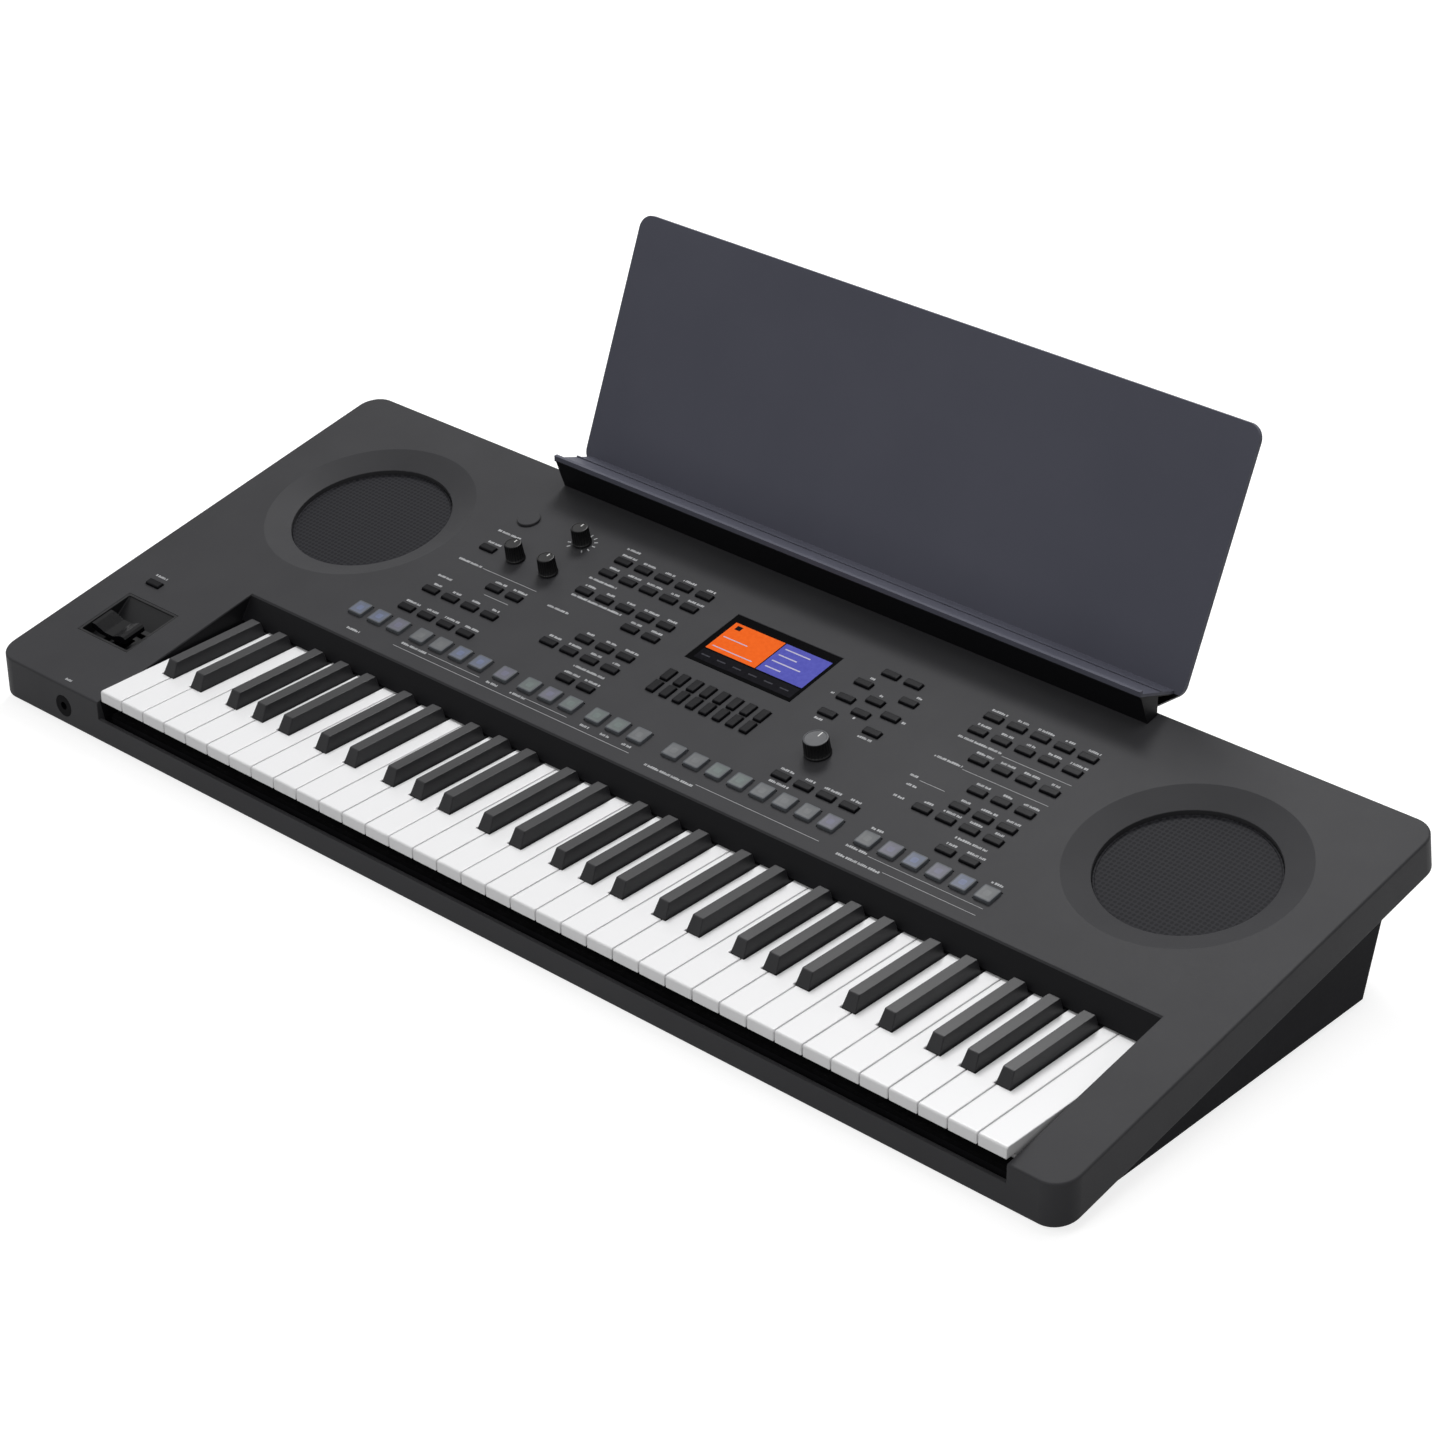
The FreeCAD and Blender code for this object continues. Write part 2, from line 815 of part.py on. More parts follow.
def make_case_screws():
    """Screws that hold the two halves of the case together."""
    screws = []
    for x in rear_screw_xs:
        piece = screw(screw_length)
        piece.translate(V(x, rear_screw_run, 0))
        screws.append(placed(piece, seam_frame))
    for x in cheek_screw_xs:
        piece = screw(screw_length)
        piece.translate(V(x, cheek_screw_y, foot_height))
        screws.append(piece)
    return Part.makeCompound(screws)


def make_speaker_grilles():
    """Round grilles seated in the two dishes."""
    discs = []
    for x, v in speaker_centres:
        base = V(x, v, grille_top - grille_thickness)
        disc = Part.makeCylinder(grille_radius - grille_play, grille_thickness, base)
        discs.append(placed(disc, panel_frame))
    return Part.makeCompound(discs)


def make_speaker_baskets():
    """Pressed loudspeaker frames under the dishes."""
    rim_outer = grille_radius + case_wall
    rim_inner = grille_radius - speaker_ledge - basket_sheet
    low = speaker_under - basket_depth
    outline = [
        (rim_inner, speaker_under),
        (rim_outer, speaker_under),
        (rim_outer, speaker_under - basket_rim),
        (rim_inner + basket_sheet, speaker_under - basket_rim),
        (basket_back_radius, low + basket_rim),
        (basket_back_radius, low),
        (voice_coil_radius, low),
        (voice_coil_radius, low + basket_rim),
        (basket_back_radius - basket_sheet, low + basket_rim),
        (rim_inner, speaker_under - basket_rim),
    ]
    baskets = []
    for x, v in speaker_centres:
        basket = turned(outline, x, v)
        low_end = speaker_under - 2 * basket_rim
        holes = [
            Part.makeCylinder(screw_radius + screw_play, 3 * basket_rim, V(screw_x, screw_v, low_end))
            for screw_x, screw_v in speaker_screw_points(x, v)
        ]
        baskets.append(placed(basket.cut(holes), panel_frame))
    return Part.makeCompound(baskets)


def make_speaker_magnets():
    """Magnets behind the loudspeaker frames."""
    low = speaker_under - basket_depth - magnet_height
    magnets = [Part.makeCylinder(magnet_radius, magnet_height, V(x, v, low)) for x, v in speaker_centres]
    return Part.makeCompound([placed(magnet, panel_frame) for magnet in magnets])


def make_speaker_cones():
    """Paper cones with a domed cap in the middle."""
    rim = grille_radius - speaker_ledge - basket_sheet - grille_play
    low = speaker_under - cone_depth
    outline = [
        (0, low + dust_cap_rise),
        (dust_cap_radius, low),
        (rim, speaker_under - grille_play),
        (rim, speaker_under - grille_play - cone_sheet),
        (dust_cap_radius, low - cone_sheet),
        (0, low + dust_cap_rise - cone_sheet),
    ]
    return Part.makeCompound([placed(turned(outline, x, v), panel_frame) for x, v in speaker_centres])


def make_speaker_screws():
    """Screws that hold the loudspeakers to the dishes."""
    screws = []
    for centre in speaker_centres:
        for x, v in speaker_screw_points(*centre):
            piece = screw(basket_rim + speaker_screw_length - screw_play)
            piece.translate(V(x, v, speaker_under - basket_rim))
            screws.append(placed(piece, panel_frame))
    return Part.makeCompound(screws)


def cap(x, v, length, depth, height):
    """Button cap with a flange that keeps it under the panel."""
    half_x = length / 2
    half_v = depth / 2
    stem = box(x - half_x, x + half_x, v - half_v, v + half_v, flange_top, height)
    top = [e for e in stem.Edges if e.BoundBox.ZMin > height - button_chamfer]
    stem = stem.makeChamfer(button_chamfer, top)
    half_x += button_flange
    half_v += button_flange
    flange = box(x - half_x, x + half_x, v - half_v, v + half_v, flange_under, flange_top)
    return placed(stem.fuse(flange).removeSplitter(), panel_frame)


def make_buttons(centres, length, depth, height):
    """A block of equal caps."""
    return Part.makeCompound([cap(x, v, length, depth, height) for x, v in centres])


def make_power_button():
    """Flat round power button."""
    outline = [
        (0, flange_under),
        (power_radius + button_flange, flange_under),
        (power_radius + button_flange, flange_top),
        (power_radius, flange_top),
        (power_radius, power_height - button_chamfer),
        (power_radius - button_chamfer, power_height),
        (0, power_height),
    ]
    return placed(turned(outline, power_x, power_v), panel_frame)


def make_knob(x, v, radius, top_radius, height):
    """Tapered knob with a pointer groove and a bore for its shaft."""
    bore = shaft_radius + shaft_play
    outline = [
        (bore, knob_lift),
        (radius, knob_lift),
        (top_radius, height - knob_chamfer),
        (top_radius - knob_chamfer, height),
        (0, height),
        (0, knob_lift + shaft_grip),
        (bore, knob_lift + shaft_grip),
    ]
    knob = turned(outline, x, v)
    half = pointer_width / 2
    pointer = box(x - half, x + half, v, v + radius, height - pointer_depth, height + pointer_depth)
    return placed(knob.cut(pointer), panel_frame)


def make_shaft(x, v):
    """Shaft of one rotary control, from its body up into the knob."""
    low = board_under - pot_height + pot_floor
    top = knob_lift + shaft_grip - shaft_play
    return placed(rod(shaft_radius, V(x, v, low), V(x, v, top)), panel_frame)


def make_control_pots():
    """Bodies of the rotary controls under the panel boards."""
    bodies = []
    half = pot_size / 2
    for x, v, radius, top_radius, height in knobs.values():
        low = board_under - pot_height
        body = box(x - half, x + half, v - half, v + half, low, board_under)
        floor = low + pot_floor - shaft_play
        bore = Part.makeCylinder(shaft_radius + shaft_play, pot_height, V(x, v, floor))
        bodies.append(placed(body.cut(bore), panel_frame))
    return Part.makeCompound(bodies)


def make_display_window():
    """Glossy window let into the panel."""
    half_x = display_width / 2
    half_v = display_length / 2
    window = box(
        -half_x,
        half_x,
        display_v - half_v,
        display_v + half_v,
        -display_recess - window_thickness,
        -display_recess,
    )
    return placed(window, panel_frame)


def make_display_module():
    """Screen module behind the window."""
    half_x = display_width / 2 - module_margin
    half_v = display_length / 2 - module_margin
    top = -display_recess - window_thickness
    module = box(-half_x, half_x, display_v - half_v, display_v + half_v, top - module_thickness, top)
    return placed(module, panel_frame)


def make_panel_boards():
    """Circuit boards that carry the button switches and rotary controls."""
    spans = (
        (panel_board_left, panel_board_split_left),
        (panel_board_split_left + panel_board_gap, panel_board_split_right),
        (panel_board_split_right + panel_board_gap, panel_board_right),
    )
    half_x = display_width / 2 - module_margin + display_play
    half_v = display_length / 2 - module_margin + display_play
    cutters = [
        box(-half_x, half_x, display_v - half_v, display_v + half_v, 2 * board_under, 0),
    ]
    for x, v, radius, top_radius, height in knobs.values():
        cutters.append(rod(shaft_radius + shaft_hole_play, V(x, v, 2 * board_under), V(x, v, 0)))
    boards = []
    for x0, x1 in spans:
        board = box(x0, x1, panel_board_front, panel_board_back, board_under, board_top)
        boards.append(placed(board.cut(cutters), panel_frame))
    half = pad_strip_width / 2
    strip = box(-pad_board_end, pad_board_end, pad_v - half, pad_v + half, board_under, board_top)
    boards.append(placed(strip, panel_frame))
    return Part.makeCompound(boards)


def make_joystick_housing():
    """Square recess with the gimbal box under it."""
    half_x = joystick_width / 2
    half_v = joystick_length / 2
    floor_under = -joystick_floor - joystick_wall
    tray = box(-half_x, half_x, -half_v, half_v, floor_under, 0)
    inner_x = half_x - joystick_wall
    inner_v = half_v - joystick_wall
    hollow = box(-inner_x, inner_x, -inner_v, inner_v, -joystick_floor, joystick_floor)
    ramp = [
        (inner_v - joystick_ramp, -joystick_floor),
        (inner_v, -joystick_ramp_drop),
        (inner_v, -joystick_floor),
    ]
    half = gimbal_box / 2
    low = floor_under - gimbal_box_depth
    column = box(-half, half, lever_offset - half, lever_offset + half, low, floor_under)
    inner = half - joystick_wall
    well = box(-inner, inner, lever_offset - inner, lever_offset + inner, low + joystick_wall, 0)
    pin = V(0, lever_offset, -gimbal_pivot)
    reach = V(0, half + joystick_wall, 0)
    housing = tray.cut(hollow).fuse([side_prism(ramp, -inner_x, inner_x), column])
    housing = housing.cut([well, rod(gimbal_pin_radius + pin_play, pin - reach, pin + reach)])
    return at_joystick(housing.removeSplitter())


def at_joystick(shape):
    """Carry a piece from the joystick's own frame into the model."""
    shape.translate(V(joystick_x, joystick_v, 0))
    return placed(shape, panel_frame)


def make_joystick_gimbal():
    """Ring that tips sideways on two pins and carries the lever."""
    outer = gimbal_outer / 2
    inner = gimbal_inner / 2
    low = -gimbal_pivot - gimbal_height / 2
    top = -gimbal_pivot + gimbal_height / 2
    ring = box(-outer, outer, lever_offset - outer, lever_offset + outer, low, top)
    ring = ring.cut(box(-inner, inner, lever_offset - inner, lever_offset + inner, low, top))
    centre = V(0, lever_offset, -gimbal_pivot)
    pin_end = gimbal_box / 2 - pin_end_play
    pins = []
    for side in (-1, 1):
        pins.append(rod(gimbal_pin_radius, centre + V(0, side * inner, 0), centre + V(0, side * pin_end, 0)))
    reach = V(outer + gimbal_height, 0, 0)
    ring = ring.fuse(pins).cut(rod(gimbal_pin_radius + pin_play, centre - reach, centre + reach))
    return at_joystick(ring.removeSplitter())


def make_joystick_lever():
    """Saddle-shaped thumb lever on a post with a cross pin."""
    half = lever_half_width
    outline = [
        (-lever_foot_width / 2, -lever_under),
        (-half, 0),
        (-half, lever_ear - lever_ear_round),
        (-half + lever_ear_round, lever_ear),
        (-half + lever_ear_width, lever_ear),
        (-lever_valley_width / 2, lever_valley),
    ]
    outline += [(-x, n) for x, n in reversed(outline)]
    saddle = front_prism(outline, lever_offset - lever_half_length, lever_offset + lever_half_length)
    post_half = lever_post / 2
    low = -gimbal_pivot - gimbal_height
    post = box(-post_half, post_half, lever_offset - post_half, lever_offset + post_half, low, 0)
    centre = V(0, lever_offset, -gimbal_pivot)
    reach = V(gimbal_outer / 2 - pin_end_play, 0, 0)
    pin = rod(gimbal_pin_radius, centre - reach, centre + reach)
    return at_joystick(saddle.fuse([post, pin]).removeSplitter())


def jack(bore_radius):
    """Socket with its bore open at the origin, running along +y into the case."""
    ring = rod(jack_ring_radius, V(0, 0, 0), V(0, jack_ring, 0))
    bush = rod(jack_bush_radius, V(0, 0, 0), V(0, 2 * case_wall, 0))
    half = jack_body / 2
    body = box(-half, half, 2 * case_wall, 2 * case_wall + jack_body_length + case_wall, -half, half)
    bore = rod(bore_radius, V(0, 0, 0), V(0, jack_bore_length, 0))
    return ring.fuse([bush, body]).cut(bore).removeSplitter()


def make_headphone_jack():
    """Headphone socket in the front of the left cheek."""
    piece = jack(jack_bore_radius)
    piece.translate(V(phone_x, 0, phone_z))
    return piece


rear_socket_h = rear_plate_low + rear_plate_height / 2


def at_rear(shape, place):
    """Turn a socket to face backwards and set it in the rear plate."""
    shape.rotate(V(0, 0, 0), V(0, 0, 1), 180)
    shape.translate(V(place, -case_wall + jack_ring, rear_socket_h))
    return placed(shape, rear_frame)


def rear_jack_places():
    """Places of the round jacks along the rear plate."""
    return [first_jack + jack_pitch * i for i in range(jack_count)]


def make_rear_jack_plate():
    """Plate behind the window in the lower tray that carries the sockets."""
    half_x = rear_plate_width / 2 + rear_plate_lap
    low = rear_plate_low - rear_plate_lap
    top = rear_plate_low + rear_plate_height + rear_plate_lap
    plate = box(-half_x, half_x, -case_wall - rear_plate_thickness, -case_wall, low, top)
    cutters = []
    for place in rear_jack_places() + [inlet_place]:
        start = V(place, -3 * case_wall, rear_socket_h)
        cutters.append(rod(jack_bush_radius + jack_play, start, start + V(0, 4 * case_wall, 0)))
    for place, width, height in zip(usb_places, usb_widths, usb_heights):
        half = width / 2 + usb_shell + jack_play
        tall = height / 2 + usb_shell + jack_play
        cutters.append(
            box(
                place - half,
                place + half,
                -3 * case_wall,
                0,
                rear_socket_h - tall,
                rear_socket_h + tall,
            )
        )
    return placed(plate.cut(cutters), rear_frame)


def make_rear_jacks():
    """Pedal and line sockets on the rear plate."""
    return Part.makeCompound([at_rear(jack(jack_bore_radius), place) for place in rear_jack_places()])


def make_dc_inlet():
    """Power inlet with its centre pin."""
    piece = jack(inlet_bore_radius)
    pin = rod(inlet_pin_radius, V(0, 2 * jack_ring, 0), V(0, jack_bore_length + jack_ring, 0))
    return at_rear(piece.fuse(pin).removeSplitter(), inlet_place)


def make_usb_ports():
    """Folded metal shells of the two data ports."""
    ports = []
    for place, width, height in zip(usb_places, usb_widths, usb_heights):
        half = width / 2
        tall = height / 2
        shell = box(-half - usb_shell, half + usb_shell, 0, usb_depth, -tall - usb_shell, tall + usb_shell)
        cavity = box(-half, half, 0, usb_depth - usb_shell, -tall, tall)
        tongue = box(-half / 2, half / 2, usb_shell, usb_depth, -tall / 4, tall / 4)
        ports.append(at_rear(shell.cut(cavity).fuse(tongue).removeSplitter(), place))
    return Part.makeCompound(ports)


def make_main_board():
    """Main circuit board with its larger chips."""
    z = base_floor_z + main_board_lift
    half = main_board_width / 2
    back = main_board_front + main_board_length
    board = box(main_board_x - half, main_board_x + half, main_board_front, back, z, z + board_thickness)
    chips = []
    for i in range(chip_count):
        x = main_board_x + chip_pitch * (i - (chip_count - 1) / 2)
        y = main_board_front + main_board_length / 2
        size = chip_size / 2
        chips.append(
            box(x - size, x + size, y - size, y + size, z + board_thickness, z + board_thickness + chip_height)
        )
    return board.fuse(chips).removeSplitter()


def pivot_notch():
    """Side outline of the notch over the pivot ridge, from the left foot to the right foot."""
    apex = key_pivot_z + pivot_play
    spread = (apex - key_under_z) * math.tan(math.radians(notch_half_angle))
    return [(key_pivot_y + spread, key_under_z), (key_pivot_y, apex), (key_pivot_y - spread, key_under_z)]


def white_outline():
    """Side outline of a white key."""
    lip_z = key_top_z - key_lip_height
    return (
        [
            (key_front_y, lip_z),
            (key_front_y, key_top_z - key_nose_chamfer),
            (key_front_y + key_nose_chamfer, key_top_z),
            (key_back_y, key_top_z),
            (key_back_y, key_under_z),
        ]
        + pivot_notch()
        + [(key_front_y + key_lip_depth + key_side_wall, key_under_z), (key_front_y + key_lip_depth, lip_z)]
    )


def black_outline():
    """Side outline of a black key."""
    top = key_top_z + black_height
    return (
        [
            (black_front_y, key_under_z),
            (black_front_y, key_top_z),
            (black_front_y + black_nose_run, top),
            (black_back_y, top),
            (black_back_y + black_back_run, key_top_z),
            (key_back_y, key_top_z),
            (key_back_y, key_under_z),
        ]
        + pivot_notch()
    )


def hollows(x0, x1, front):
    """Pockets under a key, either side of the rib that presses the contact."""
    left = x0 + key_side_wall
    right = x1 - key_side_wall
    top = key_top_z - key_plate
    low = key_under_z - key_plate
    spans = (
        (front + key_side_wall, key_rib_y),
        (key_rib_y + key_rib_width, key_pivot_y - key_tail),
    )
    return [box(left, right, y0, y1, low, top) for y0, y1 in spans]


def black_centre(index):
    """Centre of the black key to the right of a white key."""
    note = white_notes[index % len(white_notes)]
    return keys_left + key_pitch * (index + 1) + black_offsets[note]


def has_black(index):
    """Whether a black key follows this white key."""
    return 0 <= index < white_count - 1 and white_notes[index % len(white_notes)] in black_notes


def tail_span(index):
    """Left and right edge of a white key between its black neighbours."""
    left = keys_left + key_pitch * index + key_gap / 2
    right = left + key_pitch - key_gap
    clear = black_width / 2 + key_gap
    tail_left = black_centre(index - 1) + clear if has_black(index - 1) else left
    tail_right = black_centre(index) - clear if has_black(index) else right
    return left, right, tail_left, tail_right


def make_white_key(index):
    """One white key: full-width head and a tail cut away for the black keys."""
    left, right, tail_left, tail_right = tail_span(index)
    key = side_prism(white_outline(), left, right)
    head_end = key_front_y + head_length - key_gap
    cutters = hollows(tail_left, tail_right, head_end)
    head_front = key_front_y + key_lip_depth + key_side_wall
    cutters.append(
        box(
            left + key_side_wall,
            right - key_side_wall,
            head_front,
            head_end - key_side_wall,
            key_under_z - key_plate,
            key_top_z - key_plate,
        )
    )
    deep = key_under_z - key_plate
    high = key_top_z + key_plate
    if tail_left > left:
        cutters.append(box(left - key_gap, tail_left, head_end, key_back_y + key_gap, deep, high))
    if tail_right < right:
        cutters.append(box(tail_right, right + key_gap, head_end, key_back_y + key_gap, deep, high))
    return key.cut(cutters)


def make_black_key(index):
    """One black key: tapered cap on the same pivot."""
    centre = black_centre(index)
    half = black_width / 2
    top_half = black_top_width / 2
    top = key_top_z + black_height
    key = side_prism(black_outline(), centre - half, centre + half)
    section = [
        (centre - half, key_under_z),
        (centre - half, key_top_z),
        (centre - top_half, top),
        (centre + top_half, top),
        (centre + half, key_top_z),
        (centre + half, key_under_z),
    ]
    key = key.common(front_prism(section, black_front_y, key_back_y))
    return key.cut(hollows(centre - half, centre + half, black_front_y))


def make_keys():
    """All keys, one group for each note of the scale."""
    groups = {}
    for index in range(white_count):
        note = white_notes[index % len(white_notes)]
        groups.setdefault("key_" + note, []).append(make_white_key(index))
        if has_black(index):
            groups.setdefault("key_" + black_notes[note], []).append(make_black_key(index))
    return {name: Part.makeCompound(keys) for name, keys in groups.items()}


def key_centres():
    """Centre of the tail of every key, white then black."""
    whites = []
    blacks = []
    for index in range(white_count):
        left, right, tail_left, tail_right = tail_span(index)
        whites.append((tail_left + tail_right) / 2)
        if has_black(index):
            blacks.append(black_centre(index))
    return whites, blacks


keybed_top_z = base_floor_z + keybed_plate
felt_top_z = key_under_z - (key_pivot_y - felt_front_y) * dip_slope - felt_play
strip_z = contact_board_z + board_thickness
dome_top_z = key_under_z - (key_pivot_y - key_rib_y) * dip_slope - contact_play


def make_keybed_frame():
    """Frame under the keys with guide posts, stop rail, board rails and pivot ridge."""
    left = keys_left - keybed_side_play
    right = keys_right + keybed_side_play
    plate = box(left, right, keybed_front_y, keybed_back_y, base_floor_z, keybed_top_z)
    felt_back = felt_front_y + felt_width
    parts = [box(left, right, felt_front_y, felt_back, keybed_top_z, felt_top_z - felt_thickness)]
    spread = (key_pivot_z - keybed_top_z) * math.tan(math.radians(ridge_half_angle))
    ridge = [
        (key_pivot_y - spread, keybed_top_z),
        (key_pivot_y, key_pivot_z),
        (key_pivot_y + spread, keybed_top_z),
    ]
    parts.append(side_prism(ridge, left, right))
    board_back = contact_board_y + contact_board_width
    for y in (contact_board_y, board_back - stand_off_width):
        parts.append(box(left, right, y, y + stand_off_width, keybed_top_z, contact_board_z))
    bar_y = key_pivot_y - spring_reach
    parts.append(box(left, right, bar_y, bar_y + spring_foot, keybed_top_z, spring_bar_z))
    whites, blacks = key_centres()
    for index in range(white_count):
        centre = keys_left + key_pitch * (index + 0.5)
        parts.append(guide_post(centre, white_post_y))
    for centre in blacks:
        parts.append(guide_post(centre, black_post_y))
    return plate.fuse(parts).removeSplitter()


def guide_post(centre, y):
    """Post that stands inside a key and keeps it straight."""
    wide = min(post_width, black_width - 2 * key_side_wall - 2 * key_gap)
    top = key_top_z - key_plate - (key_pivot_y - y) * dip_slope - post_play
    return box(centre - wide / 2, centre + wide / 2, y, y + post_length, keybed_top_z, top)


def make_key_felt():
    """Felt strip that stops the keys at the bottom of their travel."""
    return box(
        keys_left,
        keys_right,
        felt_front_y,
        felt_front_y + felt_width,
        felt_top_z - felt_thickness,
        felt_top_z,
    )


def make_contact_board():
    """Long circuit board under the rubber contacts."""
    return box(
        keys_left,
        keys_right,
        contact_board_y,
        contact_board_y + contact_board_width,
        contact_board_z,
        strip_z,
    )


def make_contact_strip():
    """Rubber strip with one dome under every key."""
    middle = key_rib_y + key_rib_width / 2
    half = contact_dome / 2
    strip = box(
        keys_left,
        keys_right,
        middle - contact_dome,
        middle + contact_dome,
        strip_z,
        strip_z + contact_strip_base,
    )
    whites, blacks = key_centres()
    domes = [
        box(x - half, x + half, middle - half, middle + half, strip_z + contact_strip_base, dome_top_z)
        for x in whites + blacks
    ]
    return strip.fuse(domes).removeSplitter()


def make_key_springs():
    """Flat return spring under the tail of every key."""
    bar_y = key_pivot_y - spring_reach
    tip_back = key_pivot_y - spring_tip_back
    tip_front = tip_back - spring_tip
    tip_z = key_under_z - spring_play
    outline = [
        (bar_y, spring_bar_z),
        (bar_y, spring_bar_z + spring_thickness),
        (bar_y + spring_foot, spring_bar_z + spring_thickness),
        (tip_front, tip_z),
        (tip_back, tip_z),
        (tip_back, tip_z - spring_thickness),
        (tip_front, tip_z - spring_thickness),
        (bar_y + spring_foot, spring_bar_z),
    ]
    half = spring_width / 2
    whites, blacks = key_centres()
    return Part.makeCompound([side_prism(outline, x - half, x + half) for x in whites + blacks])


def make_music_rest():
    """Leaning plate with a shelf, skirt, end walls and two tongues, in one moulding."""
    half = rest_width / 2
    outline = [
        (half, 0),
        (half + rest_flare, rest_height),
        (-half - rest_flare, rest_height),
        (-half, 0),
        (-half + rest_low_run, -rest_drop),
        (half - rest_low_run, -rest_drop),
    ]
    plate = front_prism(outline, 0, rest_thickness)
    corners = upright_edges(plate, V(0, 1, 0))
    plate = plate.makeFillet(rest_top_radius, [e for e in corners if e.CenterOfMass.z > rest_height / 2])
    corners = upright_edges(plate, V(0, 1, 0))
    plate = plate.makeFillet(rest_low_radius, [e for e in corners if abs(e.CenterOfMass.z) < edge_round])
    plate = placed(plate, rest_frame)
    tongues = []
    for side in (-1, 1):
        x = side * tongue_x
        tongue = box(
            x - tongue_width / 2,
            x + tongue_width / 2,
            -tongue_set - rest_thickness,
            -tongue_set,
            -tongue_length,
            -shelf_wall,
        )
        tongues.append(placed(tongue, rest_frame))

    shelf_half = shelf_width / 2
    shelf_grade = shelf_rise / shelf_run
    front_y = rest_foot_y - shelf_run
    front_z = rest_foot_z + shelf_rise
    fall = shelf_wall * math.hypot(1, shelf_grade)
    root_y = rest_foot_y + rest_thickness / 2
    root_z = rest_foot_z - shelf_grade * rest_thickness / 2
    shelf = [(root_y, root_z), (front_y, front_z), (front_y, front_z - fall), (root_y, root_z - fall)]
    lip = [
        (front_y, front_z - fall),
        (front_y, front_z + shelf_lip),
        (front_y + shelf_wall, front_z + shelf_lip),
        (front_y + shelf_wall, front_z - fall),
    ]
    skirt_y = front_y + skirt_set_back
    skirt = [
        (front_y, front_z),
        (skirt_y, panel_z(skirt_y) + rest_gap),
        (skirt_y + shelf_wall, panel_z(skirt_y + shelf_wall) + rest_gap),
        (front_y + shelf_wall, front_z - fall),
    ]
    end_y = front_y + rest_end_run
    end = [
        (front_y, front_z),
        (skirt_y, panel_z(skirt_y) + rest_gap),
        (end_y, panel_z(end_y) + rest_gap),
        (end_y, front_z - shelf_grade * rest_end_run),
    ]
    bead_y = rest_foot_y - shelf_run * shelf_bead_place
    bead_z = rest_foot_z + shelf_rise * shelf_bead_place
    bead = [
        (bead_y, bead_z - shelf_bead),
        (bead_y, bead_z + shelf_bead),
        (bead_y + shelf_bead, bead_z + shelf_bead),
        (bead_y + shelf_bead, bead_z - shelf_bead),
    ]
    walls = [
        side_prism(shelf, -shelf_half, shelf_half),
        side_prism(lip, -shelf_half, shelf_half),
        side_prism(skirt, -shelf_half, shelf_half),
        side_prism(bead, -shelf_half, shelf_half),
        side_prism(end, -shelf_half, -shelf_half + shelf_wall),
        side_prism(end, shelf_half - shelf_wall, shelf_half),
    ]
    return plate.fuse(tongues + walls).removeSplitter()


def build():
    """Every piece of the keyboard by name."""
    pieces = {
        "top_case": make_top_case(),
        "bottom_case": make_bottom_case(),
        "rubber_feet": make_rubber_feet(),
        "case_screws": make_case_screws(),
        "speaker_grilles": make_speaker_grilles(),
        "speaker_baskets": make_speaker_baskets(),
        "speaker_magnets": make_speaker_magnets(),
        "speaker_cones": make_speaker_cones(),
        "speaker_screws": make_speaker_screws(),
        "power_button": make_power_button(),
        "display_buttons": make_buttons(tall_buttons, tall_button_length, tall_button_depth, button_height),
        "control_pots": make_control_pots(),
        "display_window": make_display_window(),
        "display_module": make_display_module(),
        "panel_boards": make_panel_boards(),
        "joystick_housing": make_joystick_housing(),
        "joystick_gimbal": make_joystick_gimbal(),
        "joystick_lever": make_joystick_lever(),
        "headphone_jack": make_headphone_jack(),
        "rear_jack_plate": make_rear_jack_plate(),
        "rear_jacks": make_rear_jacks(),
        "dc_inlet": make_dc_inlet(),
        "usb_ports": make_usb_ports(),
        "main_board": make_main_board(),
        "keybed_frame": make_keybed_frame(),
        "key_felt": make_key_felt(),
        "contact_board": make_contact_board(),
        "contact_strip": make_contact_strip(),
        "key_springs": make_key_springs(),
        "music_rest": make_music_rest(),
    }
    for name, centres in button_blocks.items():
        pieces[name] = make_buttons(centres, button_length, button_depth, button_height)
    for name, centres in pad_blocks.items():
        pieces[name] = make_buttons(centres, pad_size, pad_size, pad_height)
    for name, size in knobs.items():
        pieces[name + "_knob"] = make_knob(*size)
        pieces[name + "_shaft"] = make_shaft(size[0], size[1])
    pieces.update(make_keys())
    return pieces


os.makedirs("parts", exist_ok=True)
for node, shape in build().items():
    shape.translate(V(0, -overall_depth / 2, 0))
    shape.exportStep("parts/" + node + ".step")
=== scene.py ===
"""Looks of an arranger keyboard: finishes, fine geometry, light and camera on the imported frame."""
import json
import logging
import math
from dataclasses import dataclass
from enum import Enum
from typing import Mapping, Optional, Sequence

import bmesh
import bpy
from mathutils import Matrix, Vector


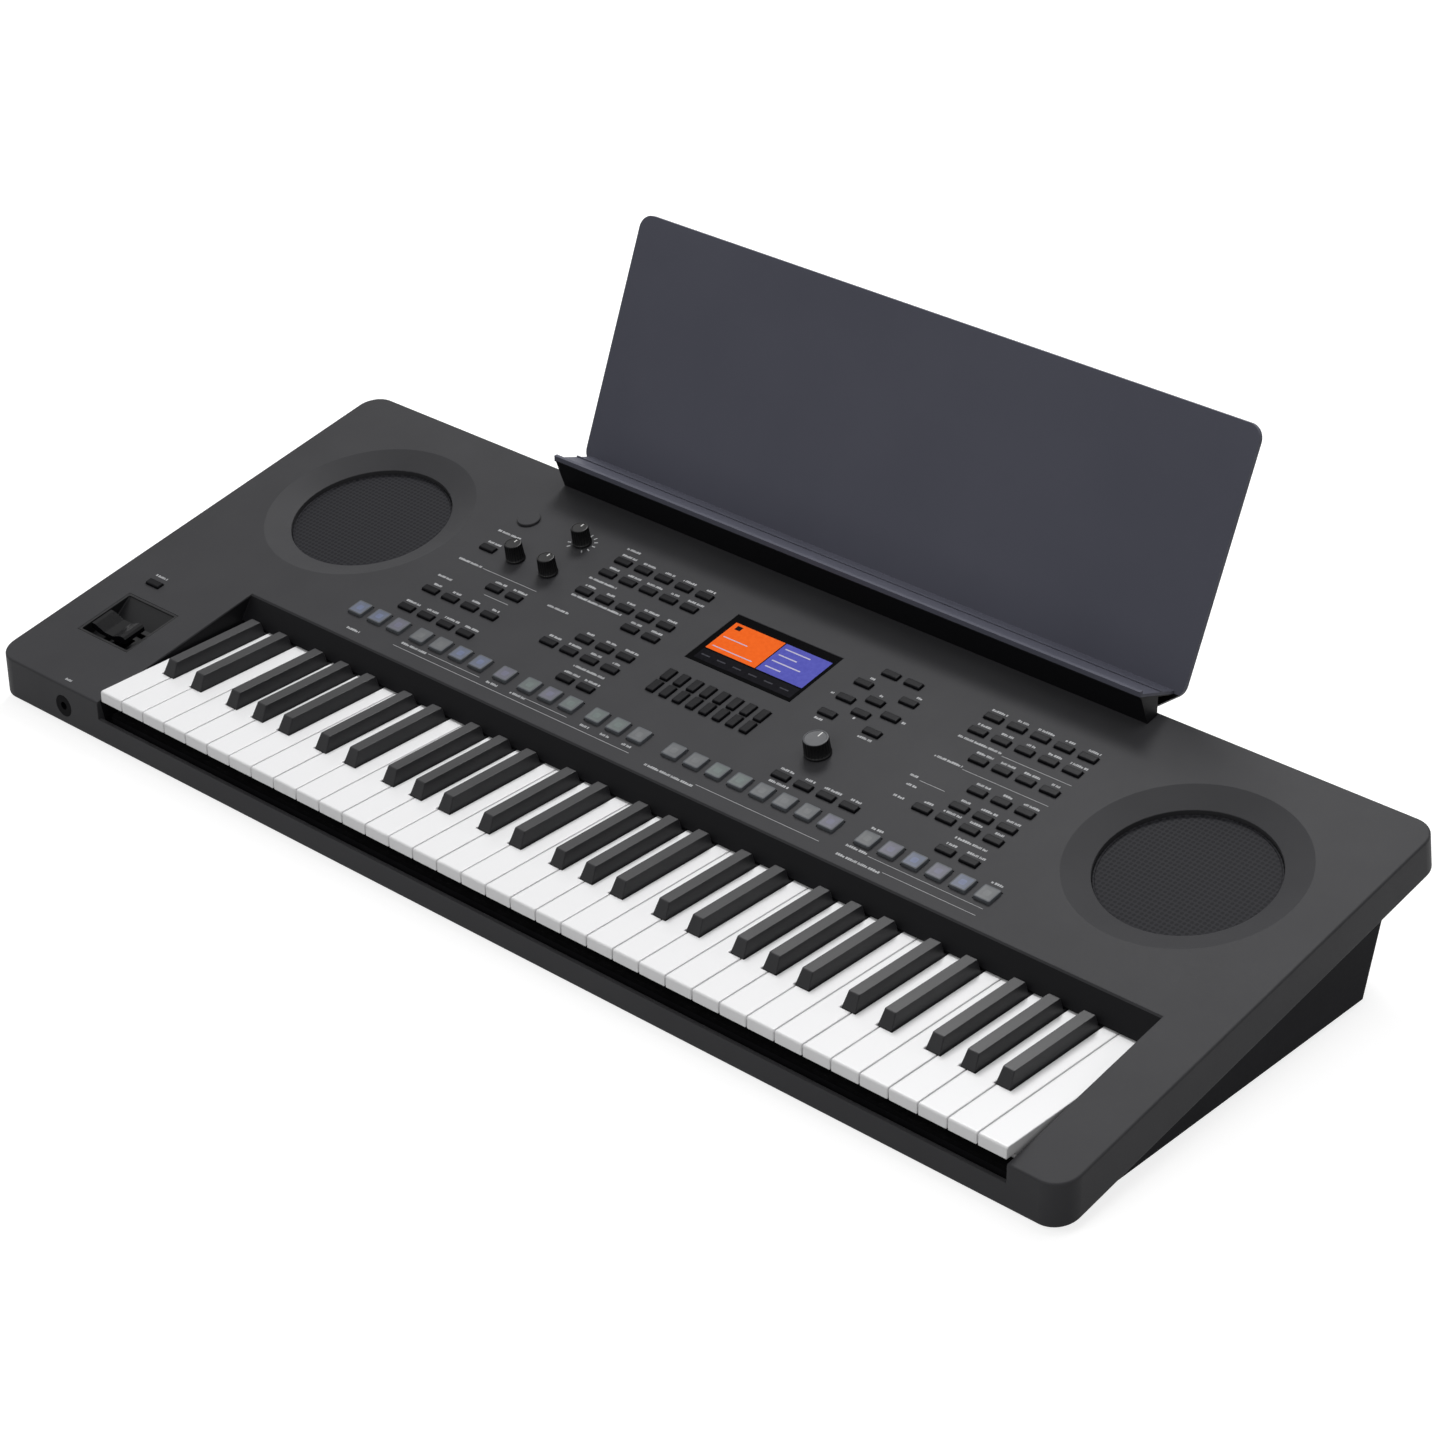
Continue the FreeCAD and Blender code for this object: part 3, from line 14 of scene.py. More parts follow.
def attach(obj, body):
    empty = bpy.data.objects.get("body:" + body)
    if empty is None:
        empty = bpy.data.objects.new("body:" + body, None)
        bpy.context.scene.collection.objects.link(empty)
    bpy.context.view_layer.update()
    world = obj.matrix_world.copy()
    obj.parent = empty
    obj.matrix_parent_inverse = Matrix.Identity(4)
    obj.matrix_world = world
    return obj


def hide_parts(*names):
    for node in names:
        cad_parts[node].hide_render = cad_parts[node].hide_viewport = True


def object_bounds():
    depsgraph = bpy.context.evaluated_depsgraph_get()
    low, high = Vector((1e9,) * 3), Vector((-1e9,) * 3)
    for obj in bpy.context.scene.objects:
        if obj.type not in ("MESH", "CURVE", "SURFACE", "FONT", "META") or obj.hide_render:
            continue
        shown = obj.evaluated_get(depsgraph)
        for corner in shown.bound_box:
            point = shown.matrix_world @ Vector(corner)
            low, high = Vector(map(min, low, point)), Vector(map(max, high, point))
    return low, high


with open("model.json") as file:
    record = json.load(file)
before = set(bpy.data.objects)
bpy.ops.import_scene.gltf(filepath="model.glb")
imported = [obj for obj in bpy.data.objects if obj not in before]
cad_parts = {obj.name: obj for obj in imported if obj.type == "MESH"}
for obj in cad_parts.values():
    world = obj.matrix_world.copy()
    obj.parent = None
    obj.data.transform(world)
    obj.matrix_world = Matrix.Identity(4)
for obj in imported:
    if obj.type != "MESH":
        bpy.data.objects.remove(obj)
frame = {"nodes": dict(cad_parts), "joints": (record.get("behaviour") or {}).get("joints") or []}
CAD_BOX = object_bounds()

Tree = bpy.types.NodeTree
Node = bpy.types.Node
Socket = bpy.types.NodeSocket
Pair = tuple[float, float]
Triple = tuple[float, float, float]

LOG = logging.getLogger("keyboard")
MM = 0.001
ORIGIN = Vector((0.0, 0.0, 0.0))

# Patterns that all finishes share
GRAIN_DETAIL = 3.0
GRAIN_STRENGTH = 0.5
DRIFT_DETAIL = 4.0
DRIFT_START = 0.3
DRIFT_END = 0.7
EDGE_SAMPLES = 6

# Steps of the round forms
ROUND_STEPS = 96
CORNER_STEPS = 4

# Angles in degrees over which an edge of a new piece stays crisp and an edge of a node is rounded
CRISP_ANGLE = 35.0
ROUNDED_ANGLE = 38.0
# Distance in millimetres under which the points of a node are one
WELD = 0.01


def linear(code: str) -> tuple[float, float, float, float]:
    """Turns a screen colour into the linear light that shaders use, along the sRGB curve.

    Args:
        code: Six hexadecimal digits, red, green and blue.

    Returns:
        Linear red, green, blue and an alpha of one.
    """
    levels = [int(code[i:i + 2], 16) / 255 for i in (0, 2, 4)]
    red, green, blue = (c / 12.92 if c <= 0.04045 else ((c + 0.055) / 1.055) ** 2.4 for c in levels)
    return red, green, blue, 1.0


def add_node(
    tree: Tree,
    kind: str,
    settings: Optional[Mapping] = None,
    links: Optional[Mapping] = None,
) -> Node:
    """Adds one shader node with its settings and links.

    Args:
        tree: Tree that gains the node.
        kind: Type name of the node.
        settings: Values by property name, input name or input number; "stops" fills a colour ramp.
        links: Output sockets by the name or number of the input that each one feeds.

    Returns:
        The new node.
    """
    node = tree.nodes.new(kind)
    for key, value in (settings or {}).items():
        if key == "stops":
            elements = node.color_ramp.elements
            while len(elements) < len(value):
                elements.new(1.0)
            for element, (place, code) in zip(elements, value):
                element.position = place
                element.color = linear(code)
        elif isinstance(key, int) or key in node.inputs:
            node.inputs[key].default_value = value
        else:
            setattr(node, key, value)
    for key, socket in (links or {}).items():
        tree.links.new(socket, node.inputs[key])
    return node


def blank(owner: bpy.types.ID) -> Tree:
    """Gives a material or a world an empty node tree.

    Args:
        owner: Material or world.

    Returns:
        Its tree.
    """
    owner.use_nodes = True
    owner.node_tree.nodes.clear()
    return owner.node_tree


def put(name: str, data: bpy.types.ID) -> bpy.types.Object:
    """Puts a new object into the scene.

    Args:
        name: Name of the object.
        data: Its mesh, lamp or camera.

    Returns:
        The new object.
    """
    made = bpy.data.objects.new(name, data)
    bpy.context.scene.collection.objects.link(made)
    return made


@dataclass(frozen=True)
class Finish:
    """Surface finish with two close tones, a fine grain and an uneven gloss; sizes are in millimetres.

    Attributes:
        name: Real material and process.
        tone: Main colour.
        fade: Colour that the tone drifts to.
        roughness: Middle value of the gloss.
        grain: Width of one grain.
        depth: Height of the grain.
        drift: Width of the patches of tone.
        stretch: How far the grain is drawn out along x, y and z.
        uneven: How far the gloss strays from its middle value.
        reflect: Strength of the reflection at the surface.
        metallic: One for bare metal.
        edge: Radius of the soft light along the edges, or none.
    """

    name: str
    tone: str
    fade: str
    roughness: float
    grain: float = 1.5
    depth: float = 0.02
    drift: float = 40.0
    stretch: Triple = (1.0, 1.0, 1.0)
    uneven: float = 0.06
    reflect: float = 0.5
    metallic: float = 0.0
    edge: float = 0.0

    def material(self) -> bpy.types.Material:
        """Builds the material once.

        Returns:
            The material with this finish's name.
        """
        known = bpy.data.materials.get(self.name)
        if known is not None:
            return known
        made = bpy.data.materials.new(self.name)
        made.diffuse_color = linear(self.tone)
        tree = blank(made)
        shader = add_node(tree, "ShaderNodeBsdfPrincipled", {
            "Metallic": self.metallic,
            "Specular IOR Level": self.reflect,
        })
        add_node(tree, "ShaderNodeOutputMaterial", links={"Surface": shader.outputs[0]})
        place = add_node(tree, "ShaderNodeTexCoord").outputs["Object"]
        self.surface(tree, shader, place)
        colour = self.colour(tree, place)
        tree.links.new(colour, shader.inputs["Base Color"])
        self.light(tree, shader, colour)
        return made

    def surface(self, tree: Tree, shader: Node, place: Socket) -> None:
        """Gives the shader its grain and gloss.

        Args:
            tree: Tree of the material.
            shader: Shader that takes the grain.
            place: Point on the surface in metres.
        """
        drawn = add_node(tree, "ShaderNodeMapping", {
            "Scale": [1 / s for s in self.stretch],
        }, {"Vector": place})
        grain = add_node(tree, "ShaderNodeTexNoise", {
            "Scale": 1 / (self.grain * MM),
            "Detail": GRAIN_DETAIL,
        }, {"Vector": drawn.outputs[0]})
        bump = add_node(tree, "ShaderNodeBump", {
            "Strength": GRAIN_STRENGTH,
            "Distance": self.depth * MM,
        }, {"Height": grain.outputs[0]})
        if self.edge:
            soft = add_node(tree, "ShaderNodeBevel", {"samples": EDGE_SAMPLES, "Radius": self.edge * MM})
            tree.links.new(soft.outputs[0], bump.inputs["Normal"])
        gloss = add_node(tree, "ShaderNodeMapRange", {
            "To Min": self.roughness - self.uneven,
            "To Max": self.roughness + self.uneven,
        }, {"Value": grain.outputs[0]})
        tree.links.new(bump.outputs[0], shader.inputs["Normal"])
        tree.links.new(gloss.outputs[0], shader.inputs["Roughness"])

    def colour(self, tree: Tree, place: Socket) -> Socket:
        """Draws the drift between the two tones.

        Args:
            tree: Tree of the material.
            place: Point on the surface in metres.

        Returns:
            Colour socket.
        """
        patches = add_node(tree, "ShaderNodeTexNoise", {
            "Scale": 1 / (self.drift * MM),
            "Detail": DRIFT_DETAIL,
        }, {"Vector": place})
        tones = add_node(tree, "ShaderNodeValToRGB", {
            "stops": ((DRIFT_START, self.tone), (DRIFT_END, self.fade)),
        }, {"Fac": patches.outputs[0]})
        return tones.outputs[0]

    def light(self, tree: Tree, shader: Node, colour: Socket) -> None:
        """Adds the light that a lit finish gives off; a plain one has none."""


@dataclass(frozen=True)
class PaintedShadeFinish(Finish):
    """Finish with painted shade: a darker tone inside one box-shaped zone, where shade falls.

    Attributes:
        dark: Colour of the painted shade inside the zone.
        place: Matrix from the zone's millimetres to metres in the shared frame.
        low: Lowest corner of the zone in millimetres.
        high: Highest corner of the zone in millimetres.
    """

    dark: str = "0E0E10"
    place: Matrix = Matrix.Identity(4)
    low: Triple = (0.0, 0.0, 0.0)
    high: Triple = (0.0, 0.0, 0.0)

    def colour(self, tree: Tree, place: Socket) -> Socket:
        """Draws the two tones, and the painted shade inside the zone.

        Args:
            tree: Tree of the material.
            place: Point on the surface in metres.

        Returns:
            Colour socket.
        """
        top = super().colour(tree, place)
        seat = self.place.inverted()
        inside = None
        for row, low, high in zip(seat, self.low, self.high):
            along = add_node(tree, "ShaderNodeVectorMath", {
                "operation": "DOT_PRODUCT",
                1: row[:3],
            }, {0: place})
            within = add_node(tree, "ShaderNodeMath", {
                "operation": "COMPARE",
                1: (low + high) / 2 - row[3],
                2: (high - low) / 2,
            }, {0: along.outputs["Value"]})
            if inside is not None:
                within = add_node(tree, "ShaderNodeMath", {"operation": "MULTIPLY"}, {
                    0: inside.outputs[0],
                    1: within.outputs[0],
                })
            inside = within
        # Painted shade: inside the zone the dark tone takes the place of the finish's own tones
        mixed = add_node(tree, "ShaderNodeMixRGB", {"Color2": linear(self.dark)}, {
            "Fac": inside.outputs[0],
            "Color1": top,
        })
        return mixed.outputs[0]


@dataclass(frozen=True)
class MeshFinish(Finish):
    """Fine perforated sheet: rows of dark holes in a paler web.

    Attributes:
        pitch: Distance between holes in millimetres.
        hole: Radius of a hole as a part of the pitch.
        rim: Width of a hole's soft edge as a part of the pitch.
        slope: Lean of the sheet in degrees.
    """

    pitch: float = 3.0
    hole: float = 0.3
    rim: float = 0.15
    slope: float = 0.0

    def colour(self, tree: Tree, place: Socket) -> Socket:
        """Draws the holes.

        Args:
            tree: Tree of the material.
            place: Point on the surface in metres.

        Returns:
            Colour socket.
        """
        level = add_node(tree, "ShaderNodeMapping", {
            "Rotation": (-math.radians(self.slope), 0.0, 0.0),
        }, {"Vector": place})
        cells = add_node(tree, "ShaderNodeTexVoronoi", {
            "voronoi_dimensions": "2D",
            "Scale": 1 / (self.pitch * MM),
            "Randomness": 0.0,
        }, {"Vector": level.outputs[0]})
        web = add_node(tree, "ShaderNodeValToRGB", {
            "stops": ((self.hole, self.fade), (self.hole + self.rim, self.tone)),
        }, {"Fac": cells.outputs["Distance"]})
        return web.outputs[0]


@dataclass(frozen=True)
class BoardFinish(Finish):
    """Circuit board: copper runs that show through the solder mask.

    Attributes:
        run: Colour of the runs.
        width: Width of a run in millimetres.
        row: Distance between runs in millimetres.
    """

    run: str = "3F6B45"
    width: float = 0.4
    row: float = 2.4

    def colour(self, tree: Tree, place: Socket) -> Socket:
        """Draws the runs.

        Args:
            tree: Tree of the material.
            place: Point on the surface in metres.

        Returns:
            Colour socket.
        """
        runs = add_node(tree, "ShaderNodeTexBrick", {
            "Scale": 1.0,
            "Color1": linear(self.tone),
            "Color2": linear(self.fade),
            "Mortar": linear(self.run),
            "Mortar Size": self.width * MM,
            "Brick Width": self.drift * MM,
            "Row Height": self.row * MM,
        }, {"Vector": place})
        return runs.outputs["Color"]


@dataclass(frozen=True)
class LitFinish(Finish):
    """Plastic or film with light behind it.

    Attributes:
        glow: Strength of the light, or none.
    """

    glow: float = 0.0

    def light(self, tree: Tree, shader: Node, colour: Socket) -> None:
        """Lets the tones shine by themselves.

        Args:
            tree: Tree of the material.
            shader: Shader that gives the light.
            colour: Colour socket of the tones.
        """
        if self.glow:
            tree.links.new(colour, shader.inputs["Emission Color"])
            shader.inputs["Emission Strength"].default_value = self.glow


@dataclass(frozen=True)
class PadFinish(LitFinish):
    """Milky silicone of a pad, with the gloss that all pads share."""

    roughness: float = 0.45
    drift: float = 8.0
    reflect: float = 0.2


@dataclass(frozen=True)
class CellFinish(LitFinish):
    """Cell of the display, fine and nearly without glare."""

    roughness: float = 0.3
    drift: float = 3.0
    reflect: float = 0.012


@dataclass(frozen=True)
class Panel:
    """Sloping control panel; its own frame has x along the keys, v up the slope and n out of it.

    Attributes:
        slope: Lean of the panel in degrees.
        front_height: Height of the panel's front edge in millimetres.
        digits: Digits of a metre by which two points of a node are told apart.
    """

    slope: float = 10.5
    front_height: float = 38.5
    digits: int = 6

    def place(self) -> Matrix:
        """Gives the panel's frame.

        Returns:
            Matrix from millimetres on the panel to metres in the shared frame.
        """
        lean = Matrix.Rotation(math.radians(self.slope), 4, "X")
        corner = Vector((0.0, CAD_BOX[0][1], self.front_height * MM))
        return Matrix.Translation(corner) @ lean @ Matrix.Scale(MM, 4)

    def over(self, body: str) -> Matrix:
        """Gives the panel's frame, moved to the joint that carries a body.

        Args:
            body: Name of the body.

        Returns:
            Matrix from millimetres around the joint to metres in the shared frame.
        """
        place = self.place()
        place.translation = Vector(next(j for j in frame["joints"] if j["child"] == body)["pos_m"])
        return place

    def islands(self, node: str) -> list[tuple[Vector, Vector]]:
        """Finds the separate solids of a node.

        Args:
            node: Name of a node of the frame.

        Returns:
            Lowest and highest corner of each solid on the panel, in millimetres, left to right.
        """
        seat = self.place().inverted()
        data = frame["nodes"][node].data
        keys = [tuple(round(c, self.digits) for c in vertex.co) for vertex in data.vertices]
        owner = {key: key for key in keys}

        def root(key: tuple) -> tuple:
            """Follows a point to the one that stands for its solid."""
            while owner[key] != key:
                owner[key] = owner[owner[key]]
                key = owner[key]
            return key

        for edge in data.edges:
            owner[root(keys[edge.vertices[0]])] = root(keys[edge.vertices[1]])
        groups: dict[tuple, list[Vector]] = {}
        for key in owner:
            groups.setdefault(root(key), []).append(seat @ Vector(key))
        corners = [
            tuple(Vector([pick(p[i] for p in points) for i in range(3)]) for pick in (min, max))
            for points in groups.values()
        ]
        return sorted(corners, key=lambda pair: (round(pair[0].x, 1), round(pair[0].y, 1)))


@dataclass(frozen=True)
class Shelf:
    """Shelf of the music rest; its own frame starts at the front lip and runs to the foot of the plate.

    Attributes:
        front: Front lip in the shared frame, y and z in millimetres.
        foot: Foot of the plate in the shared frame, y and z in millimetres.
    """

    front: Pair = (126.313, 136.5)
    foot: Pair = (166.513, 122.42)

    def place(self) -> Matrix:
        """Gives the shelf's frame.

        Returns:
            Matrix from millimetres on the shelf to metres in the shared frame.
        """
        lean = math.atan2(self.foot[1] - self.front[1], self.foot[0] - self.front[0])
        corner = Vector((0.0, self.front[0], self.front[1])) * MM
        return Matrix.Translation(corner) @ Matrix.Rotation(lean, 4, "X") @ Matrix.Scale(MM, 4)


PANEL = Panel()
SHELF = Shelf()

# Broad, dry grey with a soft sheen, the face of the whole instrument; painted shade makes it nearly black
# inside the key well
CASE_TOP = PaintedShadeFinish(
    "ABS, spark-eroded grain, charcoal", "39393B", "3C3C3E", 0.52, grain=1.6, depth=0.03, reflect=0.08,
    edge=1.0, dark="121214", place=PANEL.place(), low=(-389.0, 3.0, -168.0), high=(464.0, 168.0, -1.2),
)
# Nearly black and duller than the top, so that the tray drops back into shadow
CASE_BASE = Finish("ABS, coarse grain, black", "151518", "19191C", 0.62, grain=2.2, depth=0.05, reflect=0.04)
# Dead matt black that takes no highlight
RUBBER = Finish("rubber, moulded", "151515", "1C1C1C", 0.85, grain=1.2, depth=0.04)
# Small bright points in the dark base
SCREW_STEEL = Finish("steel, zinc plated", "B5B7B9", "A2A5AA", 0.35, grain=0.8, depth=0.01, metallic=1.0)
# Dark web over darker holes, drawn at more than twice the true pitch, which is too fine for the picture
GRILLE = MeshFinish(
    "steel mesh, powder coated black", "2C2C2F", "1E1E21", 0.6, grain=1.5, reflect=0.06,
    pitch=3.6, slope=PANEL.slope,
)
# Grey pressed metal with faint draw marks
PRESSED = Finish(
    "steel, pressed and passivated", "8C8E92", "7C7E84", 0.45, grain=1.0, stretch=(6, 1, 1), metallic=1.0,
)
# Dull charcoal stone with no shine
FERRITE = Finish("ferrite, sintered", "2B2B2D", "353537", 0.75, grain=0.9, depth=0.03)
# Soft black paper with visible fibre
PAPER = Finish("paper pulp, pressed", "26241F", "332F29", 0.9, grain=2.5, depth=0.08)
# Plain nickel-grey cans and threads
POT_METAL = Finish("zinc, die cast", "8F9297", "7D8085", 0.4, grain=1.2, depth=0.015, metallic=1.0)
# Smooth, deep black around the screen, with hardly any glare
LENS = Finish(
    "acrylic, back-printed black", "050506", "08080A", 0.12, grain=3.0, depth=0.001, uneven=0.02,
    reflect=0.012,
)
# Plain dark frame behind the lens
MODULE = Finish("polycarbonate, matt black", "1D1E20", "252629", 0.55)
# Green with paler runs, seen only when the case is open
BOARD = BoardFinish("glass epoxy, green solder mask", "1C4A2A", "21542F", 0.4, grain=1.2, drift=18.0)
# General dark moulding, a little glossier than the case
BLACK_PLASTIC = Finish("ABS, satin black", "121213", "18181A", 0.4, depth=0.008, reflect=0.2)
# Wet-looking black that carries one small highlight
JOYSTICK = Finish("ABS, polished black", "08080A", "0D0D0F", 0.18, depth=0.002, uneven=0.03, reflect=0.12)
# Flat black ring that sets the front socket off from the grey case
JACK_SHELL = Finish("PBT, matt black", "08080A", "0E0E10", 0.5, depth=0.008, reflect=0.02)
# Bright turned sleeves of the sockets
JACK_METAL = Finish("brass, nickel plated", "C2BEB4", "B0ABA0", 0.25, grain=0.9, depth=0.006, metallic=1.0)
# Folded tin around the ports
PORT_METAL = Finish("steel, tinned", "B9BBBE", "A7A9AD", 0.3, grain=0.9, stretch=(1, 5, 1), metallic=1.0)
# Moulding under the keys, toned near black as painted shade of the cavity under the keys
KEYBED = Finish("ABS, toned near black as painted shade", "161618", "1C1C1E", 0.6, grain=2.0, reflect=0.05)
# Fuzzy strip that the key fronts stop on, toned near black as painted shade of the cavity under the keys
FELT = Finish("wool felt, toned near black as painted shade", "0F0F10", "171718", 0.95, grain=1.0, depth=0.2, drift=6.0, reflect=0.02)
# Milky grey rubber with a faint shine
CONTACT = Finish("silicone, moulded grey", "8E9092", "9A9C9E", 0.5)
# Hard bright wire
SPRING = Finish("spring steel, oil tempered", "7C7A78", "6B6967", 0.35, grain=0.6, metallic=1.0)
# Dark slate plate with a blue cast, smoother than the case; painted shade makes it black under the shelf
REST = PaintedShadeFinish(
    "ABS, fine grain, slate black, painted shade under the shelf", "555661", "5A5B66", 0.5, grain=1.4, depth=0.02, drift=140.0, reflect=0.1,
    dark="0C0C0E", place=SHELF.place(), low=(-400.0, -6.0, -80.0), high=(400.0, 60.0, -2.2),
)
# Small dark caps that only show by their edges
BUTTON = Finish("ABS, satin charcoal", "101012", "151518", 0.42, grain=1.2, depth=0.01, reflect=0.06)
# Round cap in the colour of the panel
POWER = Finish("ABS, fine grain, charcoal", "39393B", "3C3C3E", 0.52, grain=1.4, reflect=0.08)
# Grey top of the data dial
DIAL_TOP = Finish("ABS, satin grey", "4A4B4E", "525356", 0.4, grain=1.2, depth=0.01, reflect=0.2)
# Deep black grips with satin ribs
KNOB = Finish("ABS, satin black, ribbed", "0C0C0D", "121213", 0.38, grain=1.2, depth=0.01, reflect=0.2)
# Pale line on a knob
POINTER = Finish("paint, white, pad printed", "D8D8D6", "CBCBC9", 0.5)
# Clean white with a soft gloss, the brightest thing in the picture
WHITE_KEY = Finish(
    "ABS, polished white", "F0F0F1", "EEEEEF", 0.26, grain=9.0, depth=0.0004, drift=150.0, uneven=0.015,
    reflect=0.25, edge=1.5,
)
# Satin black with a fine draw along the key
BLACK_KEY = Finish(
    "ABS, satin black, drawn", "252527", "2C2C2E", 0.32, grain=0.9, depth=0.006, stretch=(1, 8, 1),
    reflect=0.22,
)
# Pale grey marks that read as lettering from a distance
INK = Finish("ink, pale grey, screen printed", "B4B5B7", "A8A9AB", 0.6, drift=8.0, reflect=0.2)
# Darker rim of each pad
PAD_EDGE = Finish("silicone, smoked edge", "4E5155", "575A5E", 0.5, drift=6.0, reflect=0.2)


class Glow(Enum):
    """Light behind a pad, as a pair of finishes for its face and its thinner middle."""

    # Unlit milky grey, a little paler in the middle
    GREY = (
        PadFinish("silicone, milky grey", "5C5E60", "646668"),
        PadFinish("silicone, milky grey, thin", "636567", "6B6D6F", drift=4.0),
    )
    # Blue light that fades towards the edge
    BLUE = (
        PadFinish("silicone, blue light", "5A6070", "626878", glow=0.03),
        PadFinish("silicone, blue light, thin", "5F6782", "67708A", drift=4.0, glow=0.06),
    )
    # Violet light, dimmer than the blue
    VIOLET = (
        PadFinish("silicone, violet light", "5D5D68", "656570", glow=0.03),
        PadFinish("silicone, violet light, thin", "626274", "6A6A7C", drift=4.0, glow=0.05),
    )
    # Grey with a green cast
    GREEN = (
        PadFinish("silicone, green light", "5B6261", "636A69", glow=0.02),
        PadFinish("silicone, green light, thin", "5E6866", "66706E", drift=4.0, glow=0.04),
    )


class Screen(Enum):
    """Colours of the display picture."""

    # Warm orange block that shines on the black lens
    ORANGE = CellFinish("liquid crystal, orange", "DC5A1A", "E26220", glow=0.2)
    # Cool violet block beside it
    VIOLET = CellFinish("liquid crystal, violet", "4C4EA2", "5456AA", glow=0.2)
    # Fine pale lines
    PALE = CellFinish("liquid crystal, pale", "B8B4C8", "AFABC2", glow=0.15)
    # Faint marks along the dark strip
    DIM = CellFinish("liquid crystal, dim", "3A3A40", "424248", reflect=0.02, glow=0.05)
    # Dark strip and icon
    DARK = CellFinish("liquid crystal, dark", "0E0E12", "141318", glow=0.1)


class Draft:
    """Mesh being drawn, in the millimetres of one place's own frame."""

    def __init__(self, place: Matrix) -> None:
        """Starts an empty mesh at a place."""
        self.place = place
        self.mesh = bmesh.new()

    def rows(self, rings: Sequence[Sequence[Vector]]) -> list[list[bmesh.types.BMVert]]:
        """Turns rings of points into rows of vertices."""
        return [[self.mesh.verts.new(point) for point in ring] for ring in rings]

    def band(self, low: Sequence, high: Sequence, slot: int = 0) -> None:
        """Joins two rows of vertices by a band of faces.

        Args:
            low: First row.
            high: Second row, with as many vertices.
            slot: Material number.
        """
        for i in range(len(low)):
            j = (i + 1) % len(low)
            self.mesh.faces.new((low[i], low[j], high[j], high[i])).material_index = slot

    def skin(self, rings: Sequence[Sequence[Vector]], slots: Sequence[int] = (0,)) -> None:
        """Skins a run of rings and closes both ends.

        Args:
            rings: Rings of equally many points.
            slots: Material number of each band; the last one goes on.
        """
        rows = self.rows(rings)
        for index, (low, high) in enumerate(zip(rows, rows[1:])):
            self.band(low, high, slots[min(index, len(slots) - 1)])
        for row, slot in ((rows[0][::-1], slots[0]), (rows[-1], slots[-1])):
            self.mesh.faces.new(row).material_index = slot

    def hoop(self, rings: Sequence[Sequence[Vector]]) -> None:
        """Skins a run of rings back to its first one, as a closed hoop.

        Args:
            rings: Rings of equally many points.
        """
        rows = self.rows(rings)
        for low, high in zip(rows, rows[1:] + rows[:1]):
            self.band(low, high)

    def plate(self, corners: Sequence[Pair], top: float, thick: float, slot: int = 0) -> None:
        """Lays a thin closed plate.

        Args:
            corners: Outline of the plate.
            top: Height of its upper face.
            thick: Thickness of the plate.
            slot: Material number.
        """
        self.skin([[Vector((x, v, n)) for x, v in corners] for n in (top - thick, top)], (slot,))

    def tile(self, low: Pair, high: Pair, top: float, thick: float, slot: int = 0) -> None:
        """Lays a thin rectangular plate.

        Args:
            low: Left front corner.
            high: Right rear corner.
            top: Height of its upper face.
            thick: Thickness of the plate.
            slot: Material number.
        """
        self.plate((low, (high[0], low[1]), high, (low[0], high[1])), top, thick, slot)

    def piece(
        self,
        name: str,
        finishes: Sequence[Finish],
        body: str,
        slot: str,
        replaces: Sequence[str] = (),
    ) -> None:
        """slot: Material slot of the record; not used.
            replaces: Nodes that the piece stands for.
        """
        bmesh.ops.transform(self.mesh, matrix=self.place, verts=self.mesh.verts)
        bmesh.ops.recalc_face_normals(self.mesh, faces=self.mesh.faces)
        data = bpy.data.meshes.new(name)
        self.mesh.to_mesh(data)
        self.mesh.free()
        for finish in finishes:
            data.materials.append(finish.material())
        data.shade_smooth()
        data.set_sharp_from_angle(angle=math.radians(CRISP_ANGLE))
        made = put(name, data)
        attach(made, body)
        if replaces:
            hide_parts(*replaces)
        LOG.info("piece %s on %s, %d faces", name, body, len(data.polygons))


def circle(radius: float, n: float, middle: Vector = ORIGIN, ribs: int = 0, cut: float = 0.0) -> list[Vector]:
    """Draws a ring around an axis along n.

    Args:
        radius: Outer radius.
        n: Height of the ring.
        middle: Point on the axis.
        ribs: Number of ribs around it.
        cut: Depth of the grooves between the ribs.

    Returns:
        Points of the ring.
    """
    points = []
    for step in range(ROUND_STEPS):
        turn = 2 * math.pi * step / ROUND_STEPS
        reach = radius - cut * (0.5 - 0.5 * math.cos(ribs * turn))
        points.append(Vector((middle.x + reach * math.cos(turn), middle.y + reach * math.sin(turn), n)))
    return points


def rounded(middle: Vector, half: float, corner: float, n: float) -> list[Vector]:
    """Draws a square ring with round corners.

    Args:
        middle: Middle of the square.
        half: Half of its side.
        corner: Corner radius.
        n: Height of the ring.

    Returns:
        Points of the ring.
    """
    points = []
    for quarter, (sx, sv) in enumerate(((1, 1), (-1, 1), (-1, -1), (1, -1))):
        for step in range(CORNER_STEPS + 1):
            turn = math.pi / 2 * (quarter + step / CORNER_STEPS)
            points.append(Vector((
                middle.x + sx * (half - corner) + corner * math.cos(turn),
                middle.y + sv * (half - corner) + corner * math.sin(turn),
                n,
            )))
    return points


def points_at(place: Matrix, node: str) -> list[Vector]:
    """Gives a node's points in the millimetres of a place."""
    seat = place.inverted()
    return [seat @ vertex.co for vertex in frame["nodes"][node].data.vertices]


def widest(points: Sequence[Vector], over: float = -math.inf, middle: Vector = ORIGIN) -> float:
    """Measures how far the points over a height reach out from an axis along n."""
    return max(math.hypot(p.x - middle.x, p.y - middle.y) for p in points if p.z > over)


